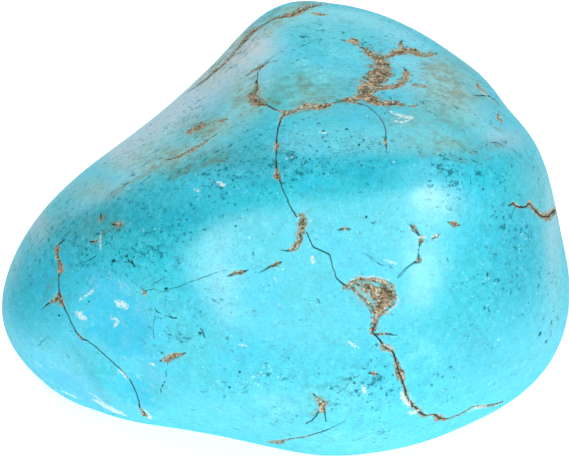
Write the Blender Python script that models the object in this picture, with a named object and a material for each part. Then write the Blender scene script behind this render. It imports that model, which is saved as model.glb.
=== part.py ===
"""A tumbled turquoise nugget: one solid stone, lying on the flat that it has worn on its underside.

The stone is a block of worn faces whose edges tumbling has rounded. Its broad outline leans back.
The block is stretched to that outline, cut flat where it rests, then chipped, pitted and grooved along
the veins of softer brown matrix, which wear back a little faster than the turquoise.
Metres, +Z up. The origin is the middle of the stone's box at floor level, and +X runs along its length.
"""

from math import cos, pi, radians, sin

import bmesh
import bpy
import numpy as np
from mathutils import Vector, noise
from mathutils.bvhtree import BVHTree

MM = 0.001

# The heart is the point inside the stone that the worn faces and the outline are measured from.
HEART_HEIGHT = 14.8 * MM
LEAN = radians(35)

# Worn faces: bearing from +X towards +Y and tilt above the horizon in degrees, and the distance from the
# heart in mm.
WORN_FACES = {
    "front": (-92, 24, 14.0),
    "front_right": (-52, 12, 18.2),
    "front_left": (-128, 8, 16.2),
    "belly": (-88, -36, 17.0),
    "foot_right": (-33, -30, 21.9),
    "foot_left": (-145, -30, 21.3),
    "right_end": (0, 8, 22.6),
    "left_end": (-172, -14, 24.0),
    "top": (140, 84, 12.5),
    "flank_left": (172, 57, 13.2),
    "roof_left": (150, 42, 14.0),
    "roof_right": (22, 50, 18.8),
    "back": (84, 12, 19.4),
    "back_left": (140, 0, 18.6),
    "back_right": (42, -4, 20.5),
    "underside": (0, -90, 16.4),
}
EDGE_HARDNESS = 7.5  # the higher, the less the edges between the faces are rounded
SWELL = 0.45 * MM  # how far the worn faces swell and hollow
SWELL_LENGTH = 9.0 * MM

# Places below are square to the lean: mm right of the heart and mm up the lean.
# The outline goes anticlockwise from the right end.
OUTLINE = (
    (22.7, -5.7), (22.55, -3.3), (21.8, 0.0), (21.0, 3.8), (20.0, 6.6), (18.7, 8.45), (17.4, 9.7),
    (16.5, 11.3), (14.1, 13.4), (11.2, 15.35), (7.3, 17.2), (3.6, 18.0), (0.9, 18.15), (-1.4, 17.3),
    (-3.7, 15.2), (-5.4, 13.3), (-7.4, 11.4), (-9.5, 9.5), (-11.9, 7.6), (-14.4, 5.7), (-16.8, 3.8),
    (-18.7, 1.9), (-20.2, 0.0), (-21.3, -1.9), (-22.1, -3.8), (-22.55, -5.7), (-22.45, -7.65),
    (-21.55, -9.55), (-19.95, -11.5), (-17.65, -13.4), (-15.0, -14.5), (-12.45, -15.25), (-8.6, -15.85),
    (-4.8, -16.55), (-1.0, -17.4), (4.1, -18.2), (6.7, -18.0), (10.6, -17.15), (14.4, -15.65),
    (18.25, -13.6), (20.8, -11.15), (22.1, -8.65),
)

NEAR, FAR = 1, -1  # the side of the leaning plane that a mark is on

# Shell-shaped scars and worn hollows: side, right, up, radius and depth in mm.
SCARS = {
    "chip_on_left": (NEAR, -13.2, -6.9, 3.4, 0.60),
    "chip_under_left": (NEAR, -11.4, -12.4, 2.9, 0.50),
    "chip_on_nose": (NEAR, -17.2, -12.6, 4.3, 0.80),
    "nick_on_shoulder": (NEAR, 16.6, 10.4, 1.3, 0.30),
    "hollow_on_roof": (NEAR, -9.2, 7.6, 5.5, 0.35),
    "hollow_behind": (FAR, 5.5, 3.0, 8.0, 0.90),
    "chip_behind_left": (FAR, -12.0, -2.0, 4.2, 0.70),
    "chip_behind_right": (FAR, 15.5, -6.5, 3.6, 0.60),
    "nick_behind": (FAR, 1.0, 12.5, 1.8, 0.40),
}

# Pockets where matrix has worn or fallen out: side, right, up, radius and depth in mm.
PITS = {
    "hole_in_crease": (NEAR, 0.8, 17.0, 0.7, 0.45),
    "wide_pocket": (NEAR, 7.8, 11.8, 1.5, 0.28),
    "foot_of_wide_pocket": (NEAR, 6.4, 10.1, 1.2, 0.20),
    "pocket_on_top": (NEAR, 9.8, 13.9, 1.2, 0.22),
    "slot_in_island_rim": (NEAR, 2.6, 9.5, 0.9, 0.35),
    "corner_of_island_rim": (NEAR, -2.1, 9.9, 0.7, 0.25),
    "hole_in_middle_vein": (NEAR, 1.4, 0.4, 0.6, 0.55),
    "pocket_in_middle_vein": (NEAR, 6.8, -4.6, 1.3, 0.28),
    "hole_in_that_pocket": (NEAR, 8.1, -4.9, 0.5, 0.45),
    "pocket_on_shoulder": (NEAR, 15.7, 10.9, 0.8, 0.30),
    "knot_in_left_vein": (NEAR, -17.8, -2.4, 0.6, 0.25),
    "patch_low_left": (NEAR, -9.1, -10.0, 0.8, 0.20),
    "patch_low_middle": (NEAR, 2.6, -13.3, 0.6, 0.25),
    "pocket_behind": (FAR, 3.0, -4.5, 1.2, 0.40),
    "pocket_behind_left": (FAR, -7.5, 4.0, 0.9, 0.35),
    "pocket_behind_right": (FAR, 11.0, 6.0, 0.8, 0.30),
}

# Veins of matrix, worn back into grooves: side, half width and depth in mm, and the points that each runs
# through.
VEINS = {
    "crease": (NEAR, 0.50, 0.40, (
        (2.8, 17.75), (1.7, 17.4), (0.7, 17.0), (-1.2, 16.5), (-2.8, 15.2), (-4.2, 13.8), (-5.7, 12.2),
        (-7.5, 10.7),
    )),
    "island_rim": (NEAR, 0.38, 0.24, (
        (-2.3, 11.5), (-2.2, 10.2), (-1.5, 9.8), (-0.4, 9.25), (1.2, 9.5), (3.7, 9.7), (5.2, 9.8),
        (6.6, 9.4), (7.6, 8.4), (7.95, 7.0), (8.2, 5.4),
    )),
    "top_branch": (NEAR, 0.38, 0.22, (
        (4.7, 14.8), (6.3, 14.2), (7.4, 13.5), (9.0, 13.8), (10.6, 13.9), (11.6, 13.7),
    )),
    "middle": (NEAR, 0.36, 0.22, (
        (-0.3, 8.9), (-0.6, 7.4), (-0.6, 5.3), (0.0, 3.1), (0.9, 0.9), (1.8, -0.5), (2.2, -1.4),
        (3.6, -2.2), (4.1, -3.8), (5.1, -4.6), (6.8, -5.6), (7.0, -7.6), (7.5, -8.7), (8.4, -9.6),
        (9.0, -11.4), (9.7, -13.1), (11.1, -14.8), (12.3, -15.1), (14.4, -14.5), (16.5, -14.0),
    )),
    "left": (NEAR, 0.36, 0.20, (
        (-16.6, -0.3), (-17.9, -1.5), (-17.8, -4.8), (-16.2, -8.7), (-13.8, -10.3), (-11.8, -13.0),
        (-11.0, -14.8),
    )),
    "right": (NEAR, 0.36, 0.22, ((17.9, 1.9), (19.3, 1.9), (20.6, 0.9), (21.3, 1.4))),
    "behind": (FAR, 0.40, 0.25, ((11.0, 6.2), (8.5, 1.5), (4.0, -1.0), (3.0, -4.5))),
}

COARSE_CUTS = 18  # quads along each side of the cube that is rounded into the stone
FINE_BANDS = (0.60 * MM, 0.25 * MM)  # how close to a vein or a pit the quads are halved once and twice
VEIN_STEP = 0.08 * MM
CRISP_RADIUS = 5.0  # mm; scars smaller than this are chips, whose crisp rims need finer quads
SLIDE_REACH = 0.52  # a vertex slides onto a vein from within this share of its shortest edge
GROOVE_STEEPNESS = 1.6  # the higher, the steeper the walls of grooves and pits
WELL_CLEAR = 60 * MM  # further from the heart than any point of the stone
LATITUDES = np.radians(np.arange(-70, 71, 2))  # angles out of the leaning plane, to measure the block at
LEVELLING = 0.05 * MM  # vertices this close to the resting plane are set on it

RIGHT = np.array((1.0, 0.0, 0.0))
RISE = np.array((0.0, sin(LEAN), cos(LEAN)))
TOWARDS = np.array((0.0, -cos(LEAN), sin(LEAN)))


def heading(bearing, tilt):
    """The unit direction with this bearing and tilt, both in degrees."""
    b, t = radians(bearing), radians(tilt)
    return np.array((cos(b) * cos(t), sin(b) * cos(t), sin(t)))


def quad_ball(cuts):
    """A bmesh of a cube's grid, pushed out to a ball of radius 1 with nearly even squares."""
    bm = bmesh.new()
    bmesh.ops.create_cube(bm, size=2.0)
    bmesh.ops.subdivide_edges(bm, edges=bm.edges, cuts=cuts - 1, use_grid_fill=True)
    for vert in bm.verts:
        even = Vector(np.tan(np.array(vert.co) * pi / 4))
        vert.co = even.normalized()
    return bm


def worn_block(directions):
    """Where rays from the heart meet the worn faces, which swell a little and whose edges are rounded."""
    total = np.zeros(len(directions))
    for bearing, tilt, distance in WORN_FACES.values():
        facing = np.clip(directions @ heading(bearing, tilt), 0, None)
        total += (facing / (distance * MM)) ** EDGE_HARDNESS
    reach = total ** (-1 / EDGE_HARDNESS)
    points = directions * reach[:, None]
    wander = np.array([noise.noise(Vector(point) / SWELL_LENGTH) for point in points])
    return directions * (reach + wander * SWELL)[:, None]


def periodic(angles, values, wanted):
    """Reads, at the wanted angles, the smooth closed curve through the values at the sorted angles."""
    turn = 2 * pi
    a = np.concatenate((angles[-2:] - turn, angles, angles[:2] + turn))
    v = np.concatenate((values[-2:], values, values[:2]))
    slope = (v[2:] - v[:-2]) / (a[2:] - a[:-2])
    i = np.clip(np.searchsorted(a, wanted, side="right") - 1, 1, len(a) - 3)
    span = a[i + 1] - a[i]
    t = (wanted - a[i]) / span
    return (
        (2 * t**3 - 3 * t**2 + 1) * v[i]
        + (t**3 - 2 * t**2 + t) * span * slope[i - 1]
        + (3 * t**2 - 2 * t**3) * v[i + 1]
        + (t**3 - t**2) * span * slope[i]
    )


def outline_reach(bearings):
    """How far the outline lies from the heart on each bearing in the leaning plane."""
    x, rise = (np.array(OUTLINE) * MM).T
    angle = np.arctan2(rise, x)
    order = np.argsort(angle)
    return periodic(angle[order], np.hypot(x, rise)[order], bearings)


def block_reach(bearings):
    """How far the untrimmed block reaches from the heart on each bearing, seen square to the lean."""
    best = np.zeros(len(bearings))
    across = np.outer(np.cos(bearings), RIGHT) + np.outer(np.sin(bearings), RISE)
    for latitude in LATITUDES:
        reach = np.linalg.norm(worn_block(across * cos(latitude) + TOWARDS * sin(latitude)), axis=1)
        best = np.maximum(best, reach * cos(latitude))
    return best


def trim(points):
    """The points stretched across the lean so that the block just fills its outline. The middle stays."""
    x, rise, towards = points @ RIGHT, points @ RISE, points @ TOWARDS
    bearings = np.arctan2(rise, x)
    reach = block_reach(bearings)
    share = np.clip(np.hypot(x, rise) / reach, 0, 1)
    fade = share**2 * (3 - 2 * share)
    stretch = 1 + (outline_reach(bearings) / reach - 1) * fade
    return np.outer(x * stretch, RIGHT) + np.outer(rise * stretch, RISE) + np.outer(towards, TOWARDS)


def place_on(tree, side, right, up):
    """The point of the surface, and its outward normal, at this place on the near or far side."""
    level = (RIGHT * right + RISE * up) * MM
    start = Vector(level + TOWARDS * side * WELL_CLEAR)
    place, normal, _, _ = tree.ray_cast(start, Vector(-TOWARDS * side))
    if place is None:
        raise ValueError(f"no surface at {right}, {up}")
    return np.array(place), np.array(normal)


def route(points):
    """Points about a vein step apart along the smooth curve through the given ones."""
    p = np.array(points, float)
    p = np.vstack((2 * p[0] - p[1], p, 2 * p[-1] - p[-2]))
    made = []
    for before, start, end, after in zip(p, p[1:], p[2:], p[3:]):
        count = max(1, round(np.linalg.norm(end - start) * MM / VEIN_STEP))
        bend = 2 * before - 5 * start + 4 * end - after
        twist = 3 * (start - end) + after - before
        for t in np.arange(count) / count:
            made.append(start + 0.5 * t * (end - before + t * (bend + t * twist)))
    made.append(p[-2])
    return made


def nearest(points, targets):
    """For each point, the distance to the nearest target and that target's number."""
    gap = np.linalg.norm(points[:, None, :] - targets[None, :, :], axis=2)
    return gap.min(axis=1), gap.argmin(axis=1)


def coordinates(bm):
    """The vertices' places, one to a row."""
    return np.array([vert.co for vert in bm.verts])


def press(bm, moves):
    """Moves each vertex by its own row of the moves."""
    for vert, move in zip(bm.verts, moves):
        vert.co += Vector(move)


def halve_near(bm, places, reaches):
    """Halves the edges within reach of the places, and closes the faces around them with triangles."""
    gap, number = nearest(coordinates(bm), places)
    near = {vert for vert, close in zip(bm.verts, gap < reaches[number]) if close}
    edges = [edge for edge in bm.edges if edge.verts[0] in near or edge.verts[1] in near]
    bmesh.ops.subdivide_edges(bm, edges=edges, cuts=1, use_grid_fill=True)


def cut_scars(bm):
    """Presses each scar in as a shallow dish with a crisp rim."""
    for side, right, up, radius, depth in SCARS.values():
        place, normal = place_on(BVHTree.FromBMesh(bm), side, right, up)
        if radius < CRISP_RADIUS:
            halve_near(bm, place[None, :], np.array([radius * MM]))
        away = np.linalg.norm(coordinates(bm) - place, axis=1) / (radius * MM)
        dish = np.clip(1 - away**2, 0, None) * depth * MM
        press(bm, -normal * dish[:, None])


def marks_on(bm):
    """The place, normal, half width and depth of each point of the veins and each pit's middle."""
    tree = BVHTree.FromBMesh(bm)
    marks = []
    for side, half_width, depth, points in VEINS.values():
        marks += [(*place_on(tree, side, *point), half_width, depth) for point in route(points)]
    for side, right, up, radius, depth in PITS.values():
        marks.append((*place_on(tree, side, right, up), radius, depth))
    places, normals, widths, depths = zip(*marks)
    return np.array(places), np.array(normals), np.array(widths) * MM, np.array(depths) * MM


def slide_onto(bm, places, normals):
    """Slides the vertices close to a vein or a pit's middle onto it, so that its bottom is a line."""
    points = coordinates(bm)
    gap, number = nearest(points, places)
    for vert, distance, i in zip(bm.verts, gap, number):
        shortest = min(edge.calc_length() for edge in vert.link_edges)
        if distance < SLIDE_REACH * shortest:
            across = places[i] - np.array(vert.co)
            vert.co += Vector(across - normals[i] * (across @ normals[i]))


def groove(bm, places, normals, widths, depths):
    """Wears the veins and the pits back. Where two overlap, the deeper one counts."""
    points = coordinates(bm)
    sunk = np.zeros(len(points))
    move = np.zeros((len(points), 3))
    for place, normal, width, depth in zip(places, normals, widths, depths):
        away = np.linalg.norm(points - place, axis=1) / width
        deep = depth * np.exp(-GROOVE_STEEPNESS * away**2)
        deeper = deep > sunk
        sunk[deeper] = deep[deeper]
        move[deeper] = -normal * deep[deeper, None]
    press(bm, move)


def rest_flat(bm):
    """Cuts the stone off level where it rests, and closes the cut with one flat face."""
    level = -HEART_HEIGHT
    for vert in bm.verts:
        if abs(vert.co.z - level) < LEVELLING:
            vert.co.z = level
    everything = bm.verts[:] + bm.edges[:] + bm.faces[:]
    down = (0, 0, -1)
    cut = bmesh.ops.bisect_plane(
        bm, geom=everything, plane_co=(0, 0, level), plane_no=down, clear_outer=True
    )
    rim = [item for item in cut["geom_cut"] if isinstance(item, bmesh.types.BMEdge)]
    for edge in rim:
        for vert in edge.verts:
            vert.co.z = level
    bmesh.ops.contextual_create(bm, geom=rim)


def centre(bm):
    """Moves the stone so that the origin is in the middle of its box, at floor level."""
    co = coordinates(bm)
    middle = (co.min(axis=0) + co.max(axis=0)) / 2
    bmesh.ops.translate(bm, verts=bm.verts, vec=(-middle[0], -middle[1], HEART_HEIGHT))


def turquoise():
    """Polished turquoise: a waxy sheen over bright blue-green."""
    material = bpy.data.materials.new("polished_turquoise")
    material.use_nodes = True
    shader = material.node_tree.nodes["Principled BSDF"]
    shader.inputs["Base Color"].default_value = (0.03, 0.50, 0.66, 1)
    shader.inputs["Roughness"].default_value = 0.25
    shader.inputs["Metallic"].default_value = 0.0
    return material


def nugget():
    bm = quad_ball(COARSE_CUTS)
    points = trim(worn_block(coordinates(bm)))
    for vert, point in zip(bm.verts, points):
        vert.co = point
    cut_scars(bm)
    places, normals, widths, depths = marks_on(bm)
    for band in FINE_BANDS:
        halve_near(bm, places, widths + band)
    slide_onto(bm, places, normals)
    groove(bm, places, normals, widths, depths)
    rest_flat(bm)
    centre(bm)
    mesh = bpy.data.meshes.new("nugget")
    bm.to_mesh(mesh)
    bm.free()
    mesh.shade_smooth()
    stone = bpy.data.objects.new("nugget", mesh)
    stone.data.materials.append(turquoise())
    bpy.context.collection.objects.link(stone)
    return stone


def main():
    for thing in list(bpy.data.objects):
        bpy.data.objects.remove(thing)
    nugget()


main()
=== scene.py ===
# %% [markdown]
# # A polished turquoise nugget
# On the real thing: a lump of turquoise that was tumbled until its broken faces turned into broad, soft
# ones. Brown host rock, the matrix, runs through it in veins, and wears back a little faster than the blue
# stone. It could be made as a sphere with a bump map, but then its outline and its light would be a ball's.
# So the lesson grows a fine skin over the plain solid of the nugget, carves the veins into that skin, and
# leaves only grain and colour to the material.

# %% Load the frame
from math import cos, pi, radians, sin

import bmesh
import bpy
import numpy as np
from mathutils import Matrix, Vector, noise
from mathutils.bvhtree import BVHTree
from mathutils.kdtree import KDTree


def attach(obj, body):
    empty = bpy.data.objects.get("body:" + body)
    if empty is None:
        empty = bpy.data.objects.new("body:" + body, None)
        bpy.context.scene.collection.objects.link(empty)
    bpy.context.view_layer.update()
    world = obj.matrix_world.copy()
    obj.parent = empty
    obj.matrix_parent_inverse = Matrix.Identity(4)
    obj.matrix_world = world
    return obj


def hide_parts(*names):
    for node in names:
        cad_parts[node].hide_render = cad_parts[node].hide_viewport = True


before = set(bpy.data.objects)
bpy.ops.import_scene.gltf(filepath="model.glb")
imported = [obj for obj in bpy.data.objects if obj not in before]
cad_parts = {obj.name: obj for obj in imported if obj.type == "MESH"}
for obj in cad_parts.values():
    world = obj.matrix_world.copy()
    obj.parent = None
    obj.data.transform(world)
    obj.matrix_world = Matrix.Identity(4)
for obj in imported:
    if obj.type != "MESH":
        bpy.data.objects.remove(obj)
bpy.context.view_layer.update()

MM = 0.001

# %% [markdown]
# ## Where things are measured from
# The nugget leans back from upright, and its heart is the point inside it that rays to every face start
# from. Marks on a stone are easiest to place in one picture of it. So the lesson fixes the main camera's
# picture first, and a mark is named by its pixel there: a ray through that pixel, square to the lean, finds
# its place on the stone. Marks out of that picture's sight are named by a bearing and a tilt from the heart.

# %% The lean, the heart and the picture
LEAN = radians(35)
HEART = np.array((-0.07, -2.67, 14.80)) * MM
RIGHT = np.array((1.0, 0.0, 0.0))
RISE = np.array((0.0, sin(LEAN), cos(LEAN)))
TOWARDS = np.array((0.0, -cos(LEAN), sin(LEAN)))

PICTURE_WIDE, PICTURE_HIGH = 569, 456
PIXEL = 0.0791 * MM  # what one pixel of the picture covers on the stone
CLEAR = 60 * MM  # further from the heart than any point of the stone


def level(px, py):
    """The place of a pixel on the leaning plane through the heart."""
    right = (px - PICTURE_WIDE / 2) * PIXEL
    rise = (PICTURE_HIGH / 2 - py) * PIXEL
    return RIGHT * right + RISE * rise


def heading(bearing, tilt):
    """The unit direction with this bearing from +X towards +Y and this tilt above the horizon, in degrees."""
    b, t = radians(bearing), radians(tilt)
    return np.array((cos(b) * cos(t), sin(b) * cos(t), sin(t)))


print("picture covers", round(PICTURE_WIDE * PIXEL / MM, 1), "mm across at the heart")

# %% [markdown]
# ## The camera
# A long lens from well back keeps the outline of so small a stone free of perspective. The camera could be
# aimed at the middle of the box, but aiming at the heart keeps picture and stone in step.

# %% Camera
CAMERA_DISTANCE = 1.2
SENSOR = 36 * MM
NEAREST, FURTHEST = 0.05, 20  # metres that the camera sees between
camera = bpy.data.objects.new("camera", bpy.data.cameras.new("camera"))
camera.data.sensor_width = SENSOR / MM
camera.data.lens = SENSOR / MM * CAMERA_DISTANCE / (PICTURE_WIDE * PIXEL)
camera.data.clip_start = NEAREST
camera.data.clip_end = FURTHEST
camera.location = Vector(HEART + TOWARDS * CAMERA_DISTANCE)
camera.rotation_euler = (pi / 2 - LEAN, 0, 0)
bpy.context.collection.objects.link(camera)
bpy.context.scene.camera = camera
print("lens", round(camera.data.lens), "mm")

# %% [markdown]
# ## Shorthand for node trees
# A material is a tree of small nodes. Each could be added and linked by hand, but short helpers say the
# same in one line per node: add a node, feed a socket with a value or with another node's output,
# calculate, and lay one colour over another. Noise makes most of the patches in a stone, so it has helpers
# of its own.

# %% Add, feed and calculate
def add(tree, kind, **settings):
    """A new node of this kind with these settings."""
    made = tree.nodes.new(kind)
    for name, value in settings.items():
        setattr(made, name, value)
    return made


def feed(tree, socket, value):
    """Links another node's output to the socket, or sets the socket to a plain value."""
    if isinstance(value, bpy.types.NodeSocket):
        tree.links.new(value, socket)
    else:
        socket.default_value = value


def calc(tree, operation, *values, clamp=False):
    """The result of a Math node."""
    made = add(tree, "ShaderNodeMath", operation=operation, use_clamp=clamp)
    for socket, value in zip(made.inputs, values):
        feed(tree, socket, value)
    return made.outputs[0]


def times(tree, product, *others, clamp=False):
    """The product of the values, which clamp keeps between 0 and 1."""
    for other in others:
        product = calc(tree, "MULTIPLY", product, other, clamp=clamp)
    return product


def most(tree, largest, *others):
    """The largest of the values."""
    for other in others:
        largest = calc(tree, "MAXIMUM", largest, other)
    return largest


def rest_of(tree, share):
    """What the share leaves of 1."""
    return calc(tree, "SUBTRACT", 1.0, share)


def move(tree, operation, *values):
    """The vector that a Vector Math node puts out."""
    made = add(tree, "ShaderNodeVectorMath", operation=operation)
    for socket, value in zip(made.inputs, values):
        feed(tree, socket, value)
    return made.outputs["Vector"]


def rise_between(tree, value, low, high):
    """0 below the low value, 1 above the high one, and a soft slope between them."""
    made = add(tree, "ShaderNodeMapRange", interpolation_type="SMOOTHSTEP")
    feed(tree, made.inputs["Value"], value)
    feed(tree, made.inputs["From Min"], low)
    feed(tree, made.inputs["From Max"], high)
    return made.outputs["Result"]


# %% Lay one colour over another
def by_identifier(sockets, identifier):
    """A Mix node has several sockets called A, one for each kind of value: only their identifiers differ."""
    return next(socket for socket in sockets if socket.identifier == identifier)


def blend(tree, below, above, *shares):
    """One colour laid over another by a share from 0 to 1, or by the product of several."""
    made = add(tree, "ShaderNodeMix", data_type="RGBA")
    feed(tree, by_identifier(made.inputs, "Factor_Float"), times(tree, *shares))
    feed(tree, by_identifier(made.inputs, "A_Color"), below)
    feed(tree, by_identifier(made.inputs, "B_Color"), above)
    return by_identifier(made.outputs, "Result_Color")


# %% Noise
def grain(tree, place, scale, detail, roughness):
    """Noise from 0 to 1 about the mean 0.5, with this many lumps to the millimetre."""
    made = add(tree, "ShaderNodeTexNoise")
    feed(tree, made.inputs["Vector"], place)
    feed(tree, made.inputs["Scale"], scale)
    made.inputs["Detail"].default_value = detail
    made.inputs["Roughness"].default_value = roughness
    return made.outputs["Fac"]


def patches(tree, place, size, detail, roughness, low, high, shift=None, stretch=None):
    """Patches with a soft edge, from noise whose lumps have this size in mm.

    They begin where the noise passes the low value, and are full from the high one. A shift in mm keeps one
    kind of patch off another, and a stretch below 1 draws them out along that axis.
    """
    if shift:
        place = move(tree, "ADD", place, shift)
    if stretch:
        place = move(tree, "MULTIPLY", place, stretch)
    return rise_between(tree, grain(tree, place, 1 / size, detail, roughness), low, high)


# %% Node groups
def group(name, wants, gives):
    """A new shader node group, its Group Input and its Group Output, with these named sockets."""
    tree = bpy.data.node_groups.new(name, "ShaderNodeTree")
    for title, kind, value in wants:
        socket = tree.interface.new_socket(title, in_out="INPUT", socket_type=kind)
        if value is not None:
            socket.default_value = value
    for title, kind in gives:
        tree.interface.new_socket(title, in_out="OUTPUT", socket_type=kind)
    return tree, add(tree, "NodeGroupInput").outputs, add(tree, "NodeGroupOutput").inputs


def place_group(tree, kind, **values):
    """A copy of a node group in this tree, fed with these values. It gives back its outputs."""
    made = add(tree, "ShaderNodeGroup", node_tree=kind)
    for title, value in values.items():
        feed(tree, made.inputs[title], value)
    return made.outputs


# %% [markdown]
# ## Floor and light
# Polish shows only by what it mirrors, so each light on the stone is a soft box that stands where its
# mirror image should be. The room is dim, which leaves the deep band along the ridge. Three wide boxes
# stand one over the other in front, and give the broad face a light with a soft upper edge. Two small
# bright ones make the milky spots in it, a narrow one lights it up at the left, and the rest give the pale
# sheen on the top, at the right and behind. A fill that isn't mirrored lights the dull colour. The floor is
# a light table, whose glow keeps it white round the stone and in front of it. A single sun would be
# quicker, but it makes one hard spot and no sheen.

# %% Floor
FLOOR_SIZE = 6.0
FLOOR_COLOUR = (0.62, 0.62, 0.62, 1)
FLOOR_ROUGHNESS = 0.9
# Pools of light from under the table top: middle and half size in mm, how far each fades out beyond its edge
# as a share of its size, and the glow.
POOLS = {
    "round_stone": ((0, 18), (30, 41), 0.9, 0.61),
    "in_front": ((2, -125), (46, 120), 0.9, 0.78),
}

material = bpy.data.materials.new("light_table")
material.use_nodes = True
tree = material.node_tree
shader = tree.nodes["Principled BSDF"]
shader.inputs["Base Color"].default_value = FLOOR_COLOUR
shader.inputs["Roughness"].default_value = FLOOR_ROUGHNESS
where = add(tree, "ShaderNodeSeparateXYZ")
feed(tree, where.inputs[0], add(tree, "ShaderNodeTexCoord").outputs["Object"])


def pool(middle, half_size, fade, glow):
    """The glow of one oval pool: even inside its half size, and fading out beyond it."""
    squares = []
    for axis, centre, half in zip("XY", middle, half_size):
        off = calc(tree, "MULTIPLY_ADD", where.outputs[axis], 1 / (half * MM), -centre / half)
        squares.append(times(tree, off, off))
    out = calc(tree, "SQRT", calc(tree, "ADD", *squares))
    return times(tree, rise_between(tree, out, 1 + fade, 1.0), glow)


shader.inputs["Emission Strength"].default_value = 1.0
feed(tree, shader.inputs["Emission Color"], most(tree, *(pool(*values) for values in POOLS.values())))
floor_mesh = bpy.data.meshes.new("floor")
half = FLOOR_SIZE / 2
corners = [(-half, -half, 0), (half, -half, 0), (half, half, 0), (-half, half, 0)]
floor_mesh.from_pydata(corners, [], [(0, 1, 2, 3)])
floor_mesh.materials.append(material)
floor = bpy.data.objects.new("floor", floor_mesh)
bpy.context.collection.objects.link(floor)
print("a light table of", FLOOR_SIZE, "m with", len(POOLS), "pools of light")

# %% Room
ROOM = (0.20, 0.20, 0.20, 1)
room = bpy.data.worlds.new("room")
room.use_nodes = True
room.node_tree.nodes["Background"].inputs["Color"].default_value = ROOM
bpy.context.scene.world = room
bpy.context.scene.view_settings.view_transform = "Standard"
print("room of grey", ROOM[0])

# %% Soft boxes
# Each box: shape, bearing and tilt from the heart in degrees, distance, width and height in metres,
# radiance.
SOFT_BOXES = {
    "front_outer": ("RECTANGLE", -78, 15.5, 1.6, 2.90, 0.80, 0.65),
    "front_middle": ("RECTANGLE", -74, 11.5, 1.6, 2.35, 0.64, 0.85),
    "front_inner": ("RECTANGLE", -71, 8.5, 1.6, 1.75, 0.46, 0.92),
    "strip": ("ELLIPSE", -108, 11, 1.5, 0.30, 0.62, 3.5),
    "bright_left": ("ELLIPSE", -54, 15.0, 1.5, 0.52, 0.32, 8.4),
    "bright_right": ("ELLIPSE", -40, 8.5, 1.5, 0.54, 0.24, 4.6),
    "right_high": ("ELLIPSE", -42, 43, 1.6, 1.2, 1.0, 1.15),
    "right_top": ("ELLIPSE", 62, 58, 1.6, 2.1, 1.5, 1.35),
    "back": ("RECTANGLE", 95, 11, 1.8, 3.0, 0.68, 1.25),
}
FILL = ("RECTANGLE", 150, 66, 1.6, 2.2, 1.8, 1.12)
COVER = {"RECTANGLE": 1.0, "ELLIPSE": pi / 4}  # what each shape covers of its width times its height


def soft_box(name, shape, bearing, tilt, distance, width, height, radiance):
    """An area light that faces the heart. A light of power P and area A has a radiance of P / (pi A)."""
    light = bpy.data.lights.new(name, "AREA")
    light.shape = shape
    light.size = width
    light.size_y = height
    light.energy = radiance * pi * width * height * COVER[shape]
    away = Vector(heading(bearing, tilt))
    box = bpy.data.objects.new("soft_box_" + name, light)
    box.location = Vector(HEART) + away * distance
    box.rotation_euler = away.to_track_quat("Z", "Y").to_euler()
    box.visible_camera = False
    bpy.context.collection.objects.link(box)
    return box


for name, values in SOFT_BOXES.items():
    soft_box(name, *values)
soft_box("fill", *FILL).visible_glossy = False
print(len(SOFT_BOXES), "soft boxes and a fill")

# %% [markdown]
# ## The skin
# The solid in the frame has the right shape but flat facets. Subdividing it would keep its uneven
# triangles, and reflections would show every one. Instead a fresh ball of nearly even squares is shrunk
# onto the solid along rays from the heart, and then relaxed: each point moves towards the mean of its
# neighbours, over and over, until no facet is left. Relaxing shrinks a shape a little, so what it took away
# is relaxed too and given back.

# %% A ball of even squares
CUTS = 78  # squares along each side of the cube that is pushed out to the ball


def even_ball(cuts):
    """A bmesh of a cube's grid, pushed out to a ball of radius 1 with nearly even squares."""
    ball = bmesh.new()
    bmesh.ops.create_cube(ball, size=2.0)
    bmesh.ops.subdivide_edges(ball, edges=ball.edges, cuts=cuts - 1, use_grid_fill=True)
    for vert in ball.verts:
        vert.co = Vector(np.tan(np.array(vert.co) * pi / 4)).normalized()
    return ball


skin = even_ball(CUTS)
print(len(skin.verts), "points in the ball")


# %% Shrink it onto the solid
def coordinates(bm):
    """The places of a bmesh's points, one to a row."""
    return np.array([vert.co for vert in bm.verts])


def put(bm, places):
    """Moves each point of a bmesh to its row of the places."""
    for vert, place in zip(bm.verts, places):
        vert.co = place


def cast_out(tree, direction):
    """Where a ray from the heart leaves the stone."""
    return np.array(tree.ray_cast(Vector(HEART), Vector(direction))[0])


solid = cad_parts["nugget"].data
faces = [tuple(face.vertices) for face in solid.polygons]
solid_tree = BVHTree.FromPolygons([vertex.co for vertex in solid.vertices], faces)
faceted = np.array([cast_out(solid_tree, direction) for direction in coordinates(skin)])
print("shrunk onto the solid:", np.round(np.ptp(faceted, axis=0) / MM, 1))


# %% Relaxing
def neighbours(bm):
    """The two ends of each edge, as numbers of points."""
    bm.verts.index_update()
    return np.array([(edge.verts[0].index, edge.verts[1].index) for edge in bm.edges])


def relaxed(places, ends, rounds):
    """Moves each point half way to the mean of its neighbours, in rounds."""
    count = len(places)
    first, second = ends.T
    share = 1 / np.bincount(ends.ravel(), minlength=count)
    for _ in range(rounds):
        total = np.zeros_like(places)
        for axis in range(3):
            total[:, axis] = np.bincount(first, places[second, axis], count)
            total[:, axis] += np.bincount(second, places[first, axis], count)
        places = places + (total * share[:, None] - places) * 0.5
    return places


def given_back(places, ends, rounds):
    """Relaxed places, with what relaxing took away relaxed too and added again."""
    once = relaxed(places, ends, rounds)
    return once + relaxed(places - once, ends, rounds)


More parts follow.
